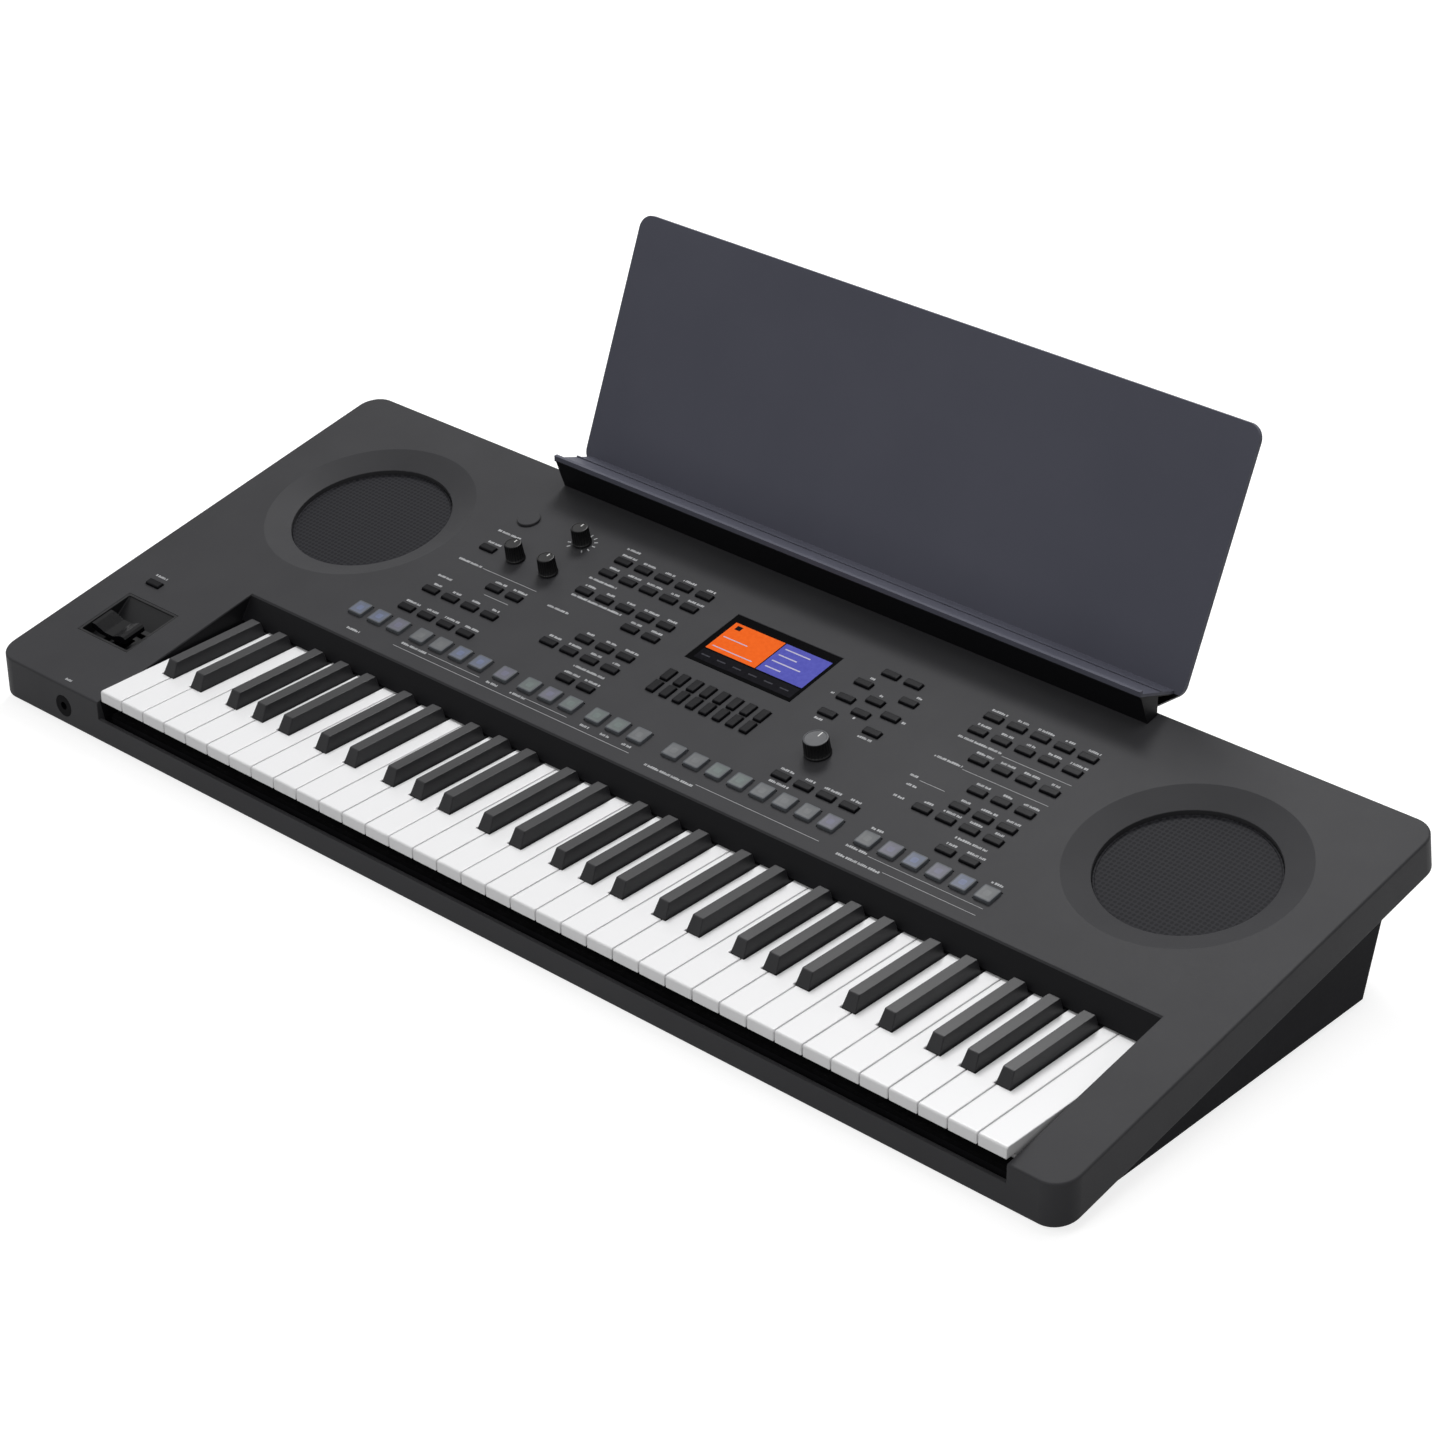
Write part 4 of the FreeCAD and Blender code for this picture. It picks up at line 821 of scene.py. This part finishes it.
def dress(node: str, finish: Finish, edge: float = 0.0, segments: int = 2) -> None:
    """Gives a node of the frame its finish, and rounds its edges.

    Args:
        node: Name of the node.
        finish: Finish of the whole node.
        edge: Width of the rounding in millimetres, or none.
        segments: Steps across the rounding.
    """
    piece = frame["nodes"][node]
    piece.data.materials.clear()
    piece.data.materials.append(finish.material())
    if edge:
        weld = piece.modifiers.new("weld", "WELD")
        weld.merge_threshold = WELD * MM
        bevel = piece.modifiers.new("edge", "BEVEL")
        bevel.width = edge * MM
        bevel.segments = segments
        bevel.limit_method = "ANGLE"
        bevel.angle_limit = math.radians(ROUNDED_ANGLE)
        bevel.use_clamp_overlap = True
        normals = piece.modifiers.new("normals", "WEIGHTED_NORMAL")
        normals.keep_sharp = True
    LOG.info("node %s in %s", node, finish.name)


class Assembly:
    """Sub-assembly of the keyboard, in the steps that main takes it through."""

    def build(self) -> None:
        """Draws the meshes that the solids are too plain for, where there are any."""

    def dress(self) -> None:
        """Gives the nodes that stay their finishes, where there are any."""


@dataclass
class Case(Assembly):
    """Top case, base tray, feet and screws; sizes are in millimetres.

    Attributes:
        base_edge: Rounding of the tray.
        foot_edge: Rounding of the feet.
        screw_edge: Rounding of the screw heads.
    """

    base_edge: float = 0.6
    foot_edge: float = 0.8
    screw_edge: float = 0.2

    def dress(self) -> None:
        """Gives the case its finishes."""
        dress("top_case", CASE_TOP)
        dress("bottom_case", CASE_BASE, self.base_edge)
        dress("rubber_feet", RUBBER, self.foot_edge)
        dress("case_screws", SCREW_STEEL, self.screw_edge)


@dataclass
class Keys(Assembly):
    """The 61 keys and the bed that carries them; sizes are in millimetres.

    Attributes:
        white_edge: Rounding of the white keys.
        black_edge: Rounding of the black keys.
        segments: Steps across the rounding.
    """

    white_edge: float = 0.5
    black_edge: float = 0.9
    segments: int = 3

    def dress(self) -> None:
        """Gives the keys and the bed their finishes."""
        for name in "c d e f g a b".split():
            dress(f"key_{name}", WHITE_KEY, self.white_edge, self.segments)
        for name in "c d f g a".split():
            dress(f"key_{name}_sharp", BLACK_KEY, self.black_edge, self.segments)
        dress("keybed_frame", KEYBED)
        dress("key_felt", FELT)
        dress("contact_board", BOARD)
        dress("contact_strip", CONTACT)
        dress("key_springs", SPRING)


@dataclass
class Speakers(Assembly):
    """Two loudspeakers behind crowned mesh grilles; sizes are in millimetres.

    Attributes:
        foot: Inset from the outside and rise of each ring at the foot.
        rim: Inset and drop from the top of each ring of the rolled rim.
        crown: Rise of the mesh towards its middle.
        rings: Steps from the rim to the middle.
    """

    foot: tuple[Pair, ...] = ((0.4, 0.0), (0.0, 0.4))
    rim: tuple[Pair, ...] = ((0.0, 0.7), (0.3, 0.2), (0.9, 0.0), (1.5, 0.15), (2.0, 0.8))
    crown: float = 0.6
    rings: int = 12

    def build(self) -> None:
        """Draws both grilles and puts them in place of the plain discs."""
        draft = Draft(PANEL.place())
        for low, high in PANEL.islands("speaker_grilles"):
            radius = (high.x - low.x) / 2
            profile = [(radius - inset, low.z + rise) for inset, rise in self.foot]
            profile += [(radius - inset, high.z - drop) for inset, drop in self.rim]
            inner, level = profile[-1]
            for step in range(1, self.rings):
                share = 1 - step / self.rings
                profile.append((inner * share, level + self.crown * (1 - share ** 2)))
            draft.skin([circle(r, n, (low + high) / 2) for r, n in profile])
        draft.piece("speaker_grille_meshes", [GRILLE], "chassis", "grille_cloth", ["speaker_grilles"])

    def dress(self) -> None:
        """Gives the loudspeakers behind the grilles their finishes."""
        dress("speaker_baskets", PRESSED)
        dress("speaker_magnets", FERRITE)
        dress("speaker_cones", PAPER)
        dress("speaker_screws", SCREW_STEEL)


@dataclass
class Buttons(Assembly):
    """Push buttons and lit pads of the panel; sizes are in millimetres.

    Attributes:
        edge: Rounding of the buttons.
        foot: Outset, corner radius and rise of each ring at a pad's hidden foot, the widest one first.
        crown: Inset, corner radius and drop of each ring of a pad's frame, and last of its face's first ring.
        light: Half width, corner radius and drop of each ring round a pad's bright middle.
        gap_shade_width: Width of the dark ring around the power button, the narrow gap and its painted
            shadow.
        film: Thickness of that ring.
        proud: Height over the panel from which the power button is measured.
    """

    edge: float = 0.5
    foot: tuple[Triple, ...] = ((1.0, 1.4, 0.0), (1.0, 1.4, 1.2), (0.0, 1.4, 1.5))
    crown: tuple[Triple, ...] = (
        (0.0, 1.4, 0.5), (0.15, 1.3, 0.15), (0.5, 1.1, 0.0), (1.2, 0.9, 0.02), (2.0, 0.8, 0.1),
    )
    light: tuple[Triple, ...] = ((3.8, 1.6, 0.15), (2.6, 1.4, 0.15))
    gap_shade_width: float = 1.1
    film: float = 0.03
    proud: float = 0.1

    def power_gap_shade(self) -> None:
        """Draws a thin dark ring on the panel around the power button, painted shade that stands for the
        narrow gap and its shadow.
        """
        place = PANEL.place()
        low, high = PANEL.islands("power_button")[0]
        middle = (low + high) / 2
        inner = widest(points_at(place, "power_button"), self.proud, middle)
        outer = inner + self.gap_shade_width
        draft = Draft(place)
        corners = ((inner, 0.0), (outer, 0.0), (outer, self.film), (inner, self.film))
        draft.hoop([circle(r, n, middle) for r, n in corners])
        # The ring is painted shade: a dark sheet for the gap and the shadow around the button
        draft.piece("power_button_gap_shade", [BLACK_PLASTIC], "chassis", "black_plastic")

    def pads(self, node: str, glows: Sequence[Glow]) -> None:
        """Draws one row of pads in place of its plain caps.

        Args:
            node: Node that the pads stand for, and the body that carries them.
            glows: Light of each pad from left to right.
        """
        kinds = list(Glow)
        dark = len(self.foot) + len(self.crown) - 2
        draft = Draft(PANEL.place())
        for (low, high), glow in zip(PANEL.islands(node), glows):
            half = (high.x - low.x) / 2 - self.foot[0][0]
            steps = [(half + outset, corner, low.z + rise) for outset, corner, rise in self.foot]
            steps += [(half - inset, corner, high.z - drop) for inset, corner, drop in self.crown]
            steps += [(size, corner, high.z - drop) for size, corner, drop in self.light]
            rings = [rounded((low + high) / 2, size, corner, n) for size, corner, n in steps]
            face = 1 + 2 * kinds.index(glow)
            draft.skin(rings, [0] * dark + [face] * (len(self.light) + 1) + [face + 1])
        finishes = [PAD_EDGE] + [finish for kind in kinds for finish in kind.value]
        draft.piece(f"{node}_caps", finishes, node, "pad_lit", [node])

    def build(self) -> None:
        """Draws the three rows of pads and the ring of painted shade around the power button."""
        blue, violet, grey, green = Glow.BLUE, Glow.VIOLET, Glow.GREY, Glow.GREEN
        self.pads("style_pads", [
            blue, blue, violet, grey, grey, blue, blue, violet, green, violet, green, green, green, grey,
        ])
        self.pads("registration_pads", [grey, grey, green, green, grey, grey, grey, violet])
        self.pads("part_pads", [grey, violet, blue, violet, blue, grey])
        self.power_gap_shade()

    def dress(self) -> None:
        """Gives the push buttons their finishes."""
        for group in "left style song display cursor page voice".split():
            dress(f"{group}_buttons", BUTTON, self.edge)
        dress("joystick_button", BUTTON, self.edge)
        dress("power_button", POWER, self.edge)
        dress("panel_boards", BOARD)


@dataclass
class Knobs(Assembly):
    """Ribbed knobs, the data dial and the controls under them; sizes are in millimetres.

    Attributes:
        ribs: Number of ribs on a knob.
        cut: Depth of the grooves.
        lower: Inset from the widest radius, rise from the foot and share of the groove, ring by ring.
        upper: Inset from the top's radius, drop from the head and share of the groove, ring by ring.
        side_bands: Number of bands up to the top face.
        top_band: Height under the head in which the top's radius is measured.
        lip: Distance of the dish from the top's edge.
        dish: Depth of the dished top.
        hollow: Radius of the innermost ring as a part of the top's radius.
        mark: Half width of the pointer line.
        mark_start: Inner end of the pointer line as a part of the top's radius.
        mark_end: Distance of the line's outer end from the top's edge.
        film: Height of the pointer line over the dish.
    """

    ribs: int = 24
    cut: float = 0.45
    lower: tuple[Triple, ...] = (
        (0.2, 0.0, 0.0), (0.0, 0.2, 0.0), (0.0, 1.3, 0.0), (0.2, 1.6, 0.0), (0.25, 1.7, 0.3), (0.3, 2.1, 1.0),
    )
    upper: tuple[Triple, ...] = (
        (0.0, 1.0, 1.0), (0.1, 0.6, 0.4), (0.35, 0.2, 0.0), (0.8, 0.0, 0.0), (1.2, 0.0, 0.0),
    )
    side_bands: int = 8
    top_band: float = 1.5
    lip: float = 1.6
    dish: float = 0.35
    hollow: float = 0.4
    mark: float = 0.45
    mark_start: float = 0.25
    mark_end: float = 1.9
    film: float = 0.05

    def knob(self, name: str, top: Finish, slot: str) -> None:
        """Draws one knob in place of its plain grip.

        Args:
            name: Body that the knob turns with; its grip has the same name.
            top: Finish of the top face.
            slot: Material slot of the record.
        """
        place = PANEL.over(name)
        points = points_at(place, name)
        foot = min(p.z for p in points)
        head = max(p.z for p in points)
        wide = widest(points)
        slim = widest(points, head - self.top_band)
        dish = head - self.dish
        steps = [(wide - inset, foot + rise, share) for inset, rise, share in self.lower]
        steps += [(slim - inset, head - drop, share) for inset, drop, share in self.upper]
        steps += [(slim - self.lip, dish, 0.0), (slim * self.hollow, dish - self.film, 0.0)]
        draft = Draft(place)
        draft.skin(
            [circle(r, n, ribs=self.ribs, cut=self.cut * share) for r, n, share in steps],
            [0] * self.side_bands + [1],
        )
        draft.tile(
            (-self.mark, slim * self.mark_start), (self.mark, slim - self.mark_end),
            dish + self.film, 2 * self.film, 2,
        )
        draft.piece(f"{name}_grip", [KNOB, top, POINTER], name, slot, [name])

    def build(self) -> None:
        """Draws the three knobs and the dial."""
        for name in ("volume_knob", "live_left_knob", "live_right_knob"):
            self.knob(name, KNOB, "knob_black")
        self.knob("dial_knob", DIAL_TOP, "dial_grey")

    def dress(self) -> None:
        """Gives the shafts and the controls their finishes."""
        for name in ("volume", "live_left", "live_right", "dial"):
            dress(f"{name}_shaft", POT_METAL)
        dress("control_pots", POT_METAL)


@dataclass(frozen=True)
class Run:
    """Run of strips of one colour on the display, in millimetres on the panel.

    Attributes:
        kind: Colour of the strips.
        layer: One on the lens, two on another strip.
        start: Left front corner of the first strip.
        depth: Depth of a strip up the slope.
        lengths: Length of each strip.
        step: Way from one strip to the next.
    """

    kind: Screen
    layer: int
    start: Pair
    depth: float
    lengths: tuple[float, ...]
    step: Pair = (0.0, 0.0)


PICTURE = (
    # Two blocks over a dark strip
    Run(Screen.ORANGE, 1, (-45.0, 290.0), 34.0, (47.5,)),
    Run(Screen.VIOLET, 1, (3.5, 290.0), 34.0, (43.5,)),
    Run(Screen.DARK, 1, (-45.0, 277.0), 11.5, (92.0,)),
    # Lines on both blocks
    Run(Screen.PALE, 2, (7.0, 318.0), 1.2, (23.56, 17.1, 26.6, 14.44), (0.0, -7.4)),
    Run(Screen.PALE, 2, (-42.0, 294.0), 0.9, (37.8, 23.1), (0.0, 12.0)),
    # Icon on the left block, and faint marks on the strip
    Run(Screen.DARK, 2, (-41.0, 317.0), 4.5, (5.0,)),
    Run(Screen.DIM, 2, (-42.0, 282.0), 1.2, (8.0,) * 6, (15.0, 0.0)),
)


@dataclass
class Display(Assembly):
    """Glossy lens with a lit picture of plain blocks and lines.

    Attributes:
        film: Thickness of one layer of the picture in millimetres.
    """

    film: float = 0.04

    def build(self) -> None:
        """Draws the picture on the lens."""
        lens = PANEL.islands("display_window")[0][1].z
        kinds = list(Screen)
        draft = Draft(PANEL.place())
        for run in PICTURE:
            top = lens + run.layer * self.film
            for index, length in enumerate(run.lengths):
                x, v = (start + index * step for start, step in zip(run.start, run.step))
                draft.tile((x, v), (x + length, v + run.depth), top, self.film, kinds.index(run.kind))
        draft.piece("display_picture", [kind.value for kind in kinds], "chassis", "display_gloss")

    def dress(self) -> None:
        """Gives the lens and the module their finishes."""
        dress("display_window", LENS)
        dress("display_module", MODULE)


class Stroke(Enum):
    """Kinds of printed mark: a row of blocks that reads as a word, or a fine line."""

    WORD = "word"
    LINE = "line"


@dataclass(frozen=True)
class Mark:
    """One printed mark, in millimetres on the panel.

    Attributes:
        stroke: Kind of mark.
        start: Left end.
        end: Right end.
        v: Middle of the mark up the slope.
    """

    stroke: Stroke
    start: float
    end: float
    v: float


WORD = Stroke.WORD
LINE = Stroke.LINE
# Headings, lines and small labels that belong to no single button, in the order of Mark's fields
MARKS = (
    # Left part of the panel and left cheek
    (WORD, -281.6, -257.6, 274.0), (LINE, -256.0, -200.0, 273.5), (WORD, -280.0, -266.0, 250.0),
    (LINE, -231.6, -206.6, 250.0), (WORD, -281.0, -256.0, 316.0), (WORD, -471.5, -459.0, 133.5),
    (WORD, -431.0, -424.0, 7.2),
    # Between the left part and the display
    (WORD, -180.6, -159.6, 266.0), (WORD, -174.6, -123.6, 285.5), (WORD, -177.6, -149.6, 308.0),
    (WORD, -177.6, -164.6, 350.0), (WORD, -112.6, -82.6, 222.6),
    # Around the cursor buttons and the dial
    (WORD, 81.5, 86.0, 325.0), (WORD, 124.0, 128.5, 325.0), (WORD, 100.2, 103.0, 313.0),
    (WORD, 68.0, 70.5, 298.0), (WORD, 133.0, 136.0, 297.6), (WORD, 100.2, 103.0, 283.6),
    (WORD, 76.4, 84.4, 270.0), (WORD, 116.0, 129.0, 270.0), (WORD, 95.4, 113.4, 200.0),
    # Right part of the panel
    (WORD, 175.4, 213.4, 307.6), (LINE, 215.0, 275.0, 305.5), (WORD, 175.4, 199.4, 282.0),
    (LINE, 201.0, 275.0, 280.0), (WORD, 174.4, 181.4, 257.0), (LINE, 184.0, 206.0, 255.0),
    (WORD, 178.4, 187.4, 248.0), (WORD, 178.4, 187.4, 234.0), (WORD, 242.4, 269.4, 221.6),
    # In front of the pads
    (WORD, -292.6, -279.6, 166.0), (LINE, -246.6, -8.6, 169.0), (WORD, -242.6, -216.6, 174.4),
    (LINE, -215.6, -162.6, 175.0), (WORD, -154.6, -143.6, 174.4), (WORD, -130.6, -115.6, 174.4),
    (LINE, -114.6, -74.6, 175.0), (WORD, -60.6, -52.0, 174.4), (WORD, -41.0, -32.5, 174.4),
    (WORD, -20.0, -11.5, 174.4), (WORD, 9.4, 54.4, 166.0), (LINE, 55.4, 167.4, 168.6),
    (WORD, 185.4, 204.4, 176.0), (LINE, 205.4, 303.4, 174.6), (WORD, 185.4, 223.4, 165.6),
    (LINE, 224.4, 303.4, 167.0), (WORD, 188.5, 198.5, 199.0), (WORD, 291.5, 301.0, 199.0),
)


@dataclass
class Print(Assembly):
    """Pale print on the panel: blocks in place of words, fine lines, a scale round the volume knob.

    Attributes:
        lift: Thickness of the ink in millimetres, as the other sizes.
        height: Height of a word.
        block: Middle width of one block of a word.
        stray: How far a block's width strays, as a part of it.
        scatter: Turn in radians from one block's width to the next one's.
        low: Height of a low block as a part of the others'.
        low_every: One block in so many is low.
        space: Gap between blocks.
        wide_space: Gap between words as a multiple of that.
        wide_every: A word ends after so many blocks.
        line: Width of a fine line.
        label: Distance from the middle of a button to its word.
        length: Longest word over a button.
        swing: How far its half length swings either way, as a part of it.
        turn: Turn in radians from one button's word to the next one's.
        ticks: Number of marks round the volume knob.
        sweep: Angle from the first mark to the last in degrees.
        tick_ends: Inner and outer radius of a mark.
        tick_half: Half width of a mark.
    """

    lift: float = 0.05
    height: float = 2.1
    block: float = 1.2
    stray: float = 0.35
    scatter: float = 12.9898
    low: float = 0.75
    low_every: int = 4
    space: float = 0.4
    wide_space: float = 3.0
    wide_every: int = 6
    line: float = 0.35
    label: float = 7.4
    length: float = 15.0
    swing: float = 0.25
    turn: float = 2.4
    ticks: int = 11
    sweep: float = 280.0
    tick_ends: Pair = (9.2, 12.0)
    tick_half: float = 0.5

    def lay(self, draft: Draft, mark: Mark, seed: int) -> None:
        """Lays one mark on the panel.

        Args:
            draft: Drawing that takes the mark.
            mark: Mark to lay.
            seed: Number that settles the widths of its blocks.
        """
        if mark.stroke is LINE:
            half = self.line / 2
            draft.tile((mark.start, mark.v - half), (mark.end, mark.v + half), self.lift, self.lift)
            return
        x = mark.start
        foot = mark.v - self.height / 2
        count = seed
        while x < mark.end - self.block / 2:
            count += 1
            width = self.block * (1.0 + self.stray * math.sin(self.scatter * count))
            tall = self.height * (1.0 if count % self.low_every else self.low)
            draft.tile((x, foot), (min(x + width, mark.end), foot + tall), self.lift, self.lift)
            x += width + self.space * (1.0 if count % self.wide_every else self.wide_space)

    def build(self) -> None:
        """Draws all the marks and the scale."""
        marks = [Mark(*row) for row in MARKS]
        for group in ("left", "style", "song", "page", "voice"):
            for low, high in PANEL.islands(f"{group}_buttons"):
                middle = (low + high) / 2
                share = 1.0 - self.swing + self.swing * math.sin(self.turn * len(marks))
                half = self.length / 2 * share
                marks.append(Mark(WORD, middle.x - half, middle.x + half, middle.y + self.label))
        draft = Draft(PANEL.place())
        for seed, mark in enumerate(marks):
            self.lay(draft, mark, seed)
        draft.piece("panel_print", [INK], "chassis", "pad_grey")
        self.scale()

    def scale(self) -> None:
        """Draws the scale round the volume knob."""
        draft = Draft(PANEL.over("volume_knob"))
        for tick in range(self.ticks):
            turn = math.radians(self.sweep * (tick / (self.ticks - 1) - 0.5))
            along = Vector((math.sin(turn), math.cos(turn)))
            side = Vector((along.y, -along.x)) * self.tick_half
            inner, outer = (along * reach for reach in self.tick_ends)
            draft.plate((inner - side, outer - side, outer + side, inner + side), self.lift, self.lift)
        draft.piece("volume_scale", [INK], "chassis", "pad_grey")


@dataclass
class Joystick(Assembly):
    """Joystick lever in its recess; sizes are in millimetres.

    Attributes:
        lever_edge: Rounding of the lever.
        lever_segments: Steps across that rounding.
        housing_edge: Rounding of the recess.
    """

    lever_edge: float = 1.2
    lever_segments: int = 4
    housing_edge: float = 0.5

    def dress(self) -> None:
        """Gives the joystick its finishes."""
        dress("joystick_lever", JOYSTICK, self.lever_edge, self.lever_segments)
        dress("joystick_gimbal", BLACK_PLASTIC)
        dress("joystick_housing", BLACK_PLASTIC, self.housing_edge)


@dataclass
class MusicRest(Assembly):
    """Music rest that lifts out of its slots.

    Attributes:
        edge: Rounding of the plate in millimetres.
        segments: Steps across the rounding.
    """

    edge: float = 0.8
    segments: int = 3

    def dress(self) -> None:
        """Gives the rest its finish."""
        dress("music_rest", REST, self.edge, self.segments)


@dataclass
class Sockets(Assembly):
    """Sockets at the front and rear, and the main board.

    Attributes:
        edge: Rounding of the socket fronts in millimetres.
    """

    edge: float = 0.3

    def dress(self) -> None:
        """Gives the sockets their finishes."""
        dress("headphone_jack", JACK_SHELL, self.edge)
        dress("rear_jack_plate", BLACK_PLASTIC, self.edge)
        dress("rear_jacks", JACK_METAL, self.edge)
        dress("dc_inlet", BLACK_PLASTIC, self.edge)
        dress("usb_ports", PORT_METAL, self.edge)
        dress("main_board", BOARD)


@dataclass(frozen=True)
class Lamp:
    """Soft lamp.

    Attributes:
        name: Name of the lamp.
        spot: Where it hangs, in metres.
        target: Point that it faces, in metres.
        size: Width and height of its face, in metres.
        power: Power in watts.
    """

    name: str
    spot: Triple
    target: Triple
    size: Pair
    power: float

    def hang(self) -> None:
        """Puts the lamp into the scene."""
        data = bpy.data.lights.new(self.name, "AREA")
        data.shape = "RECTANGLE"
        data.size, data.size_y = self.size
        data.energy = self.power
        made = put(self.name, data)
        made.location = self.spot
        made.rotation_euler = (Vector(self.target) - Vector(self.spot)).to_track_quat("-Z", "Y").to_euler()


@dataclass
class Studio:
    """Pale floor, white surround, soft lamps and the camera.

    Attributes:
        surround: Strength of the even light.
        lift: Light that the floor adds where it is seen, so that it reads as white paper.
        floor_half: Half of the floor's side in metres.
        lamps: Lamps around the keyboard.
        eye: Camera position in millimetres.
        yaw: Turn of the camera in degrees.
        pitch: Tilt of the camera in degrees.
        roll: Roll of the camera in degrees.
        lens: Focal length in millimetres.
        sensor: Width of the picture behind the lens in millimetres.
        sight: How far the camera sees, in metres.
    """

    surround: float = 0.17
    lift: float = 0.8
    floor_half: float = 12.0
    lamps: tuple[Lamp, ...] = (
        Lamp("overhead", (0.6, 0.3, 2.5), (0.1, 0.0, 0.05), (1.8, 1.4), 14.0),
        Lamp("sheen", (-0.9, 1.4, 2.4), (0.45, 0.0, 0.07), (0.9, 0.9), 52.0),
        Lamp("front", (0.3, -2.0, 1.7), (0.1, 0.1, 0.15), (1.6, 1.0), 16.5),
        Lamp("edge", (2.1, 2.3, 1.7), (0.4, 0.0, 0.1), (0.6, 0.6), 6.0),
    )
    eye: Triple = (1612.14, -1733.317, 1427.20)
    yaw: float = -42.797
    pitch: float = -29.906
    roll: float = -0.779
    lens: float = 96.501
    sensor: float = 36.0
    sight: float = 50.0

    def build(self) -> None:
        """Sets up floor, surround, lamps and camera."""
        self.floor()
        self.world()
        for lamp in self.lamps:
            lamp.hang()
        self.camera()
        bpy.context.scene.view_settings.view_transform = "Standard"

    def seen(self, tree: Tree) -> Socket:
        """Finds the rays that look at the background, straight or by way of metal and glass.

        Args:
            tree: Tree that gains the nodes.

        Returns:
            Socket with one for such a ray and zero for others.
        """
        rays = add_node(tree, "ShaderNodeLightPath")
        mirrored = add_node(tree, "ShaderNodeMath", {"operation": "MAXIMUM"}, {
            0: rays.outputs["Is Camera Ray"],
            1: rays.outputs["Is Glossy Ray"],
        })
        through = add_node(tree, "ShaderNodeMath", {"operation": "MAXIMUM"}, {
            0: mirrored.outputs[0],
            1: rays.outputs["Is Transmission Ray"],
        })
        return through.outputs[0]

    def floor(self) -> None:
        """Lays the floor, which keeps the object's shadow and reads as white paper."""
        mesh = bmesh.new()
        bmesh.ops.create_grid(mesh, x_segments=1, y_segments=1, size=self.floor_half)
        data = bpy.data.meshes.new("floor")
        mesh.to_mesh(data)
        mesh.free()
        made = put("floor", data)
        made.location = (0.0, 0.0, CAD_BOX[0][2])
        # Even, dry white with no grain that shows
        material = bpy.data.materials.new("paper, matt white, rolled out")
        tree = blank(material)
        boost = add_node(tree, "ShaderNodeMath", {
            "operation": "MULTIPLY",
            1: self.lift,
        }, {0: self.seen(tree)})
        shader = add_node(tree, "ShaderNodeBsdfPrincipled", {
            "Base Color": linear("B4B4B4"),
            "Roughness": 0.9,
            "Specular IOR Level": 0.1,
            "Emission Color": linear("FFFFFF"),
        }, {"Emission Strength": boost.outputs[0]})
        add_node(tree, "ShaderNodeOutputMaterial", links={"Surface": shader.outputs[0]})
        data.materials.append(material)

    def world(self) -> None:
        """Makes the surround: even light, and white where it is looked at or mirrored."""
        world = bpy.data.worlds.new("surround")
        bpy.context.scene.world = world
        tree = blank(world)
        even, white = (
            add_node(tree, "ShaderNodeBackground", {"Color": linear("FFFFFF"), "Strength": strength})
            for strength in (self.surround, 1.0)
        )
        mixed = add_node(tree, "ShaderNodeMixShader", links={
            0: self.seen(tree),
            1: even.outputs[0],
            2: white.outputs[0],
        })
        add_node(tree, "ShaderNodeOutputWorld", links={"Surface": mixed.outputs[0]})

    def camera(self) -> None:
        """Puts the camera where the photograph was taken from."""
        yaw, pitch, roll = (math.radians(a) for a in (self.yaw, self.pitch, self.roll))
        ahead = Vector((math.sin(yaw) * math.cos(pitch), math.cos(yaw) * math.cos(pitch), math.sin(pitch)))
        right = ahead.cross(Vector((0.0, 0.0, 1.0))).normalized()
        upward = right.cross(ahead)
        side = right * math.cos(roll) + upward * math.sin(roll)
        head = upward * math.cos(roll) - right * math.sin(roll)
        data = bpy.data.cameras.new("camera")
        data.lens = self.lens
        data.sensor_width = self.sensor
        data.clip_end = self.sight
        made = put("camera", data)
        turn = Matrix((side, head, -ahead)).transposed().to_4x4()
        made.matrix_world = Matrix.Translation(Vector(self.eye) * MM) @ turn
        bpy.context.scene.camera = made


def main() -> None:
    """Builds and dresses every sub-assembly, then the studio."""
    logging.basicConfig(level=logging.INFO, format="%(message)s")
    for part in (
        Case(), Keys(), Speakers(), Buttons(), Knobs(),
        Display(), Print(), Joystick(), MusicRest(), Sockets(),
    ):
        part.build()
        part.dress()
    Studio().build()


if __name__ == "__main__":
    main()
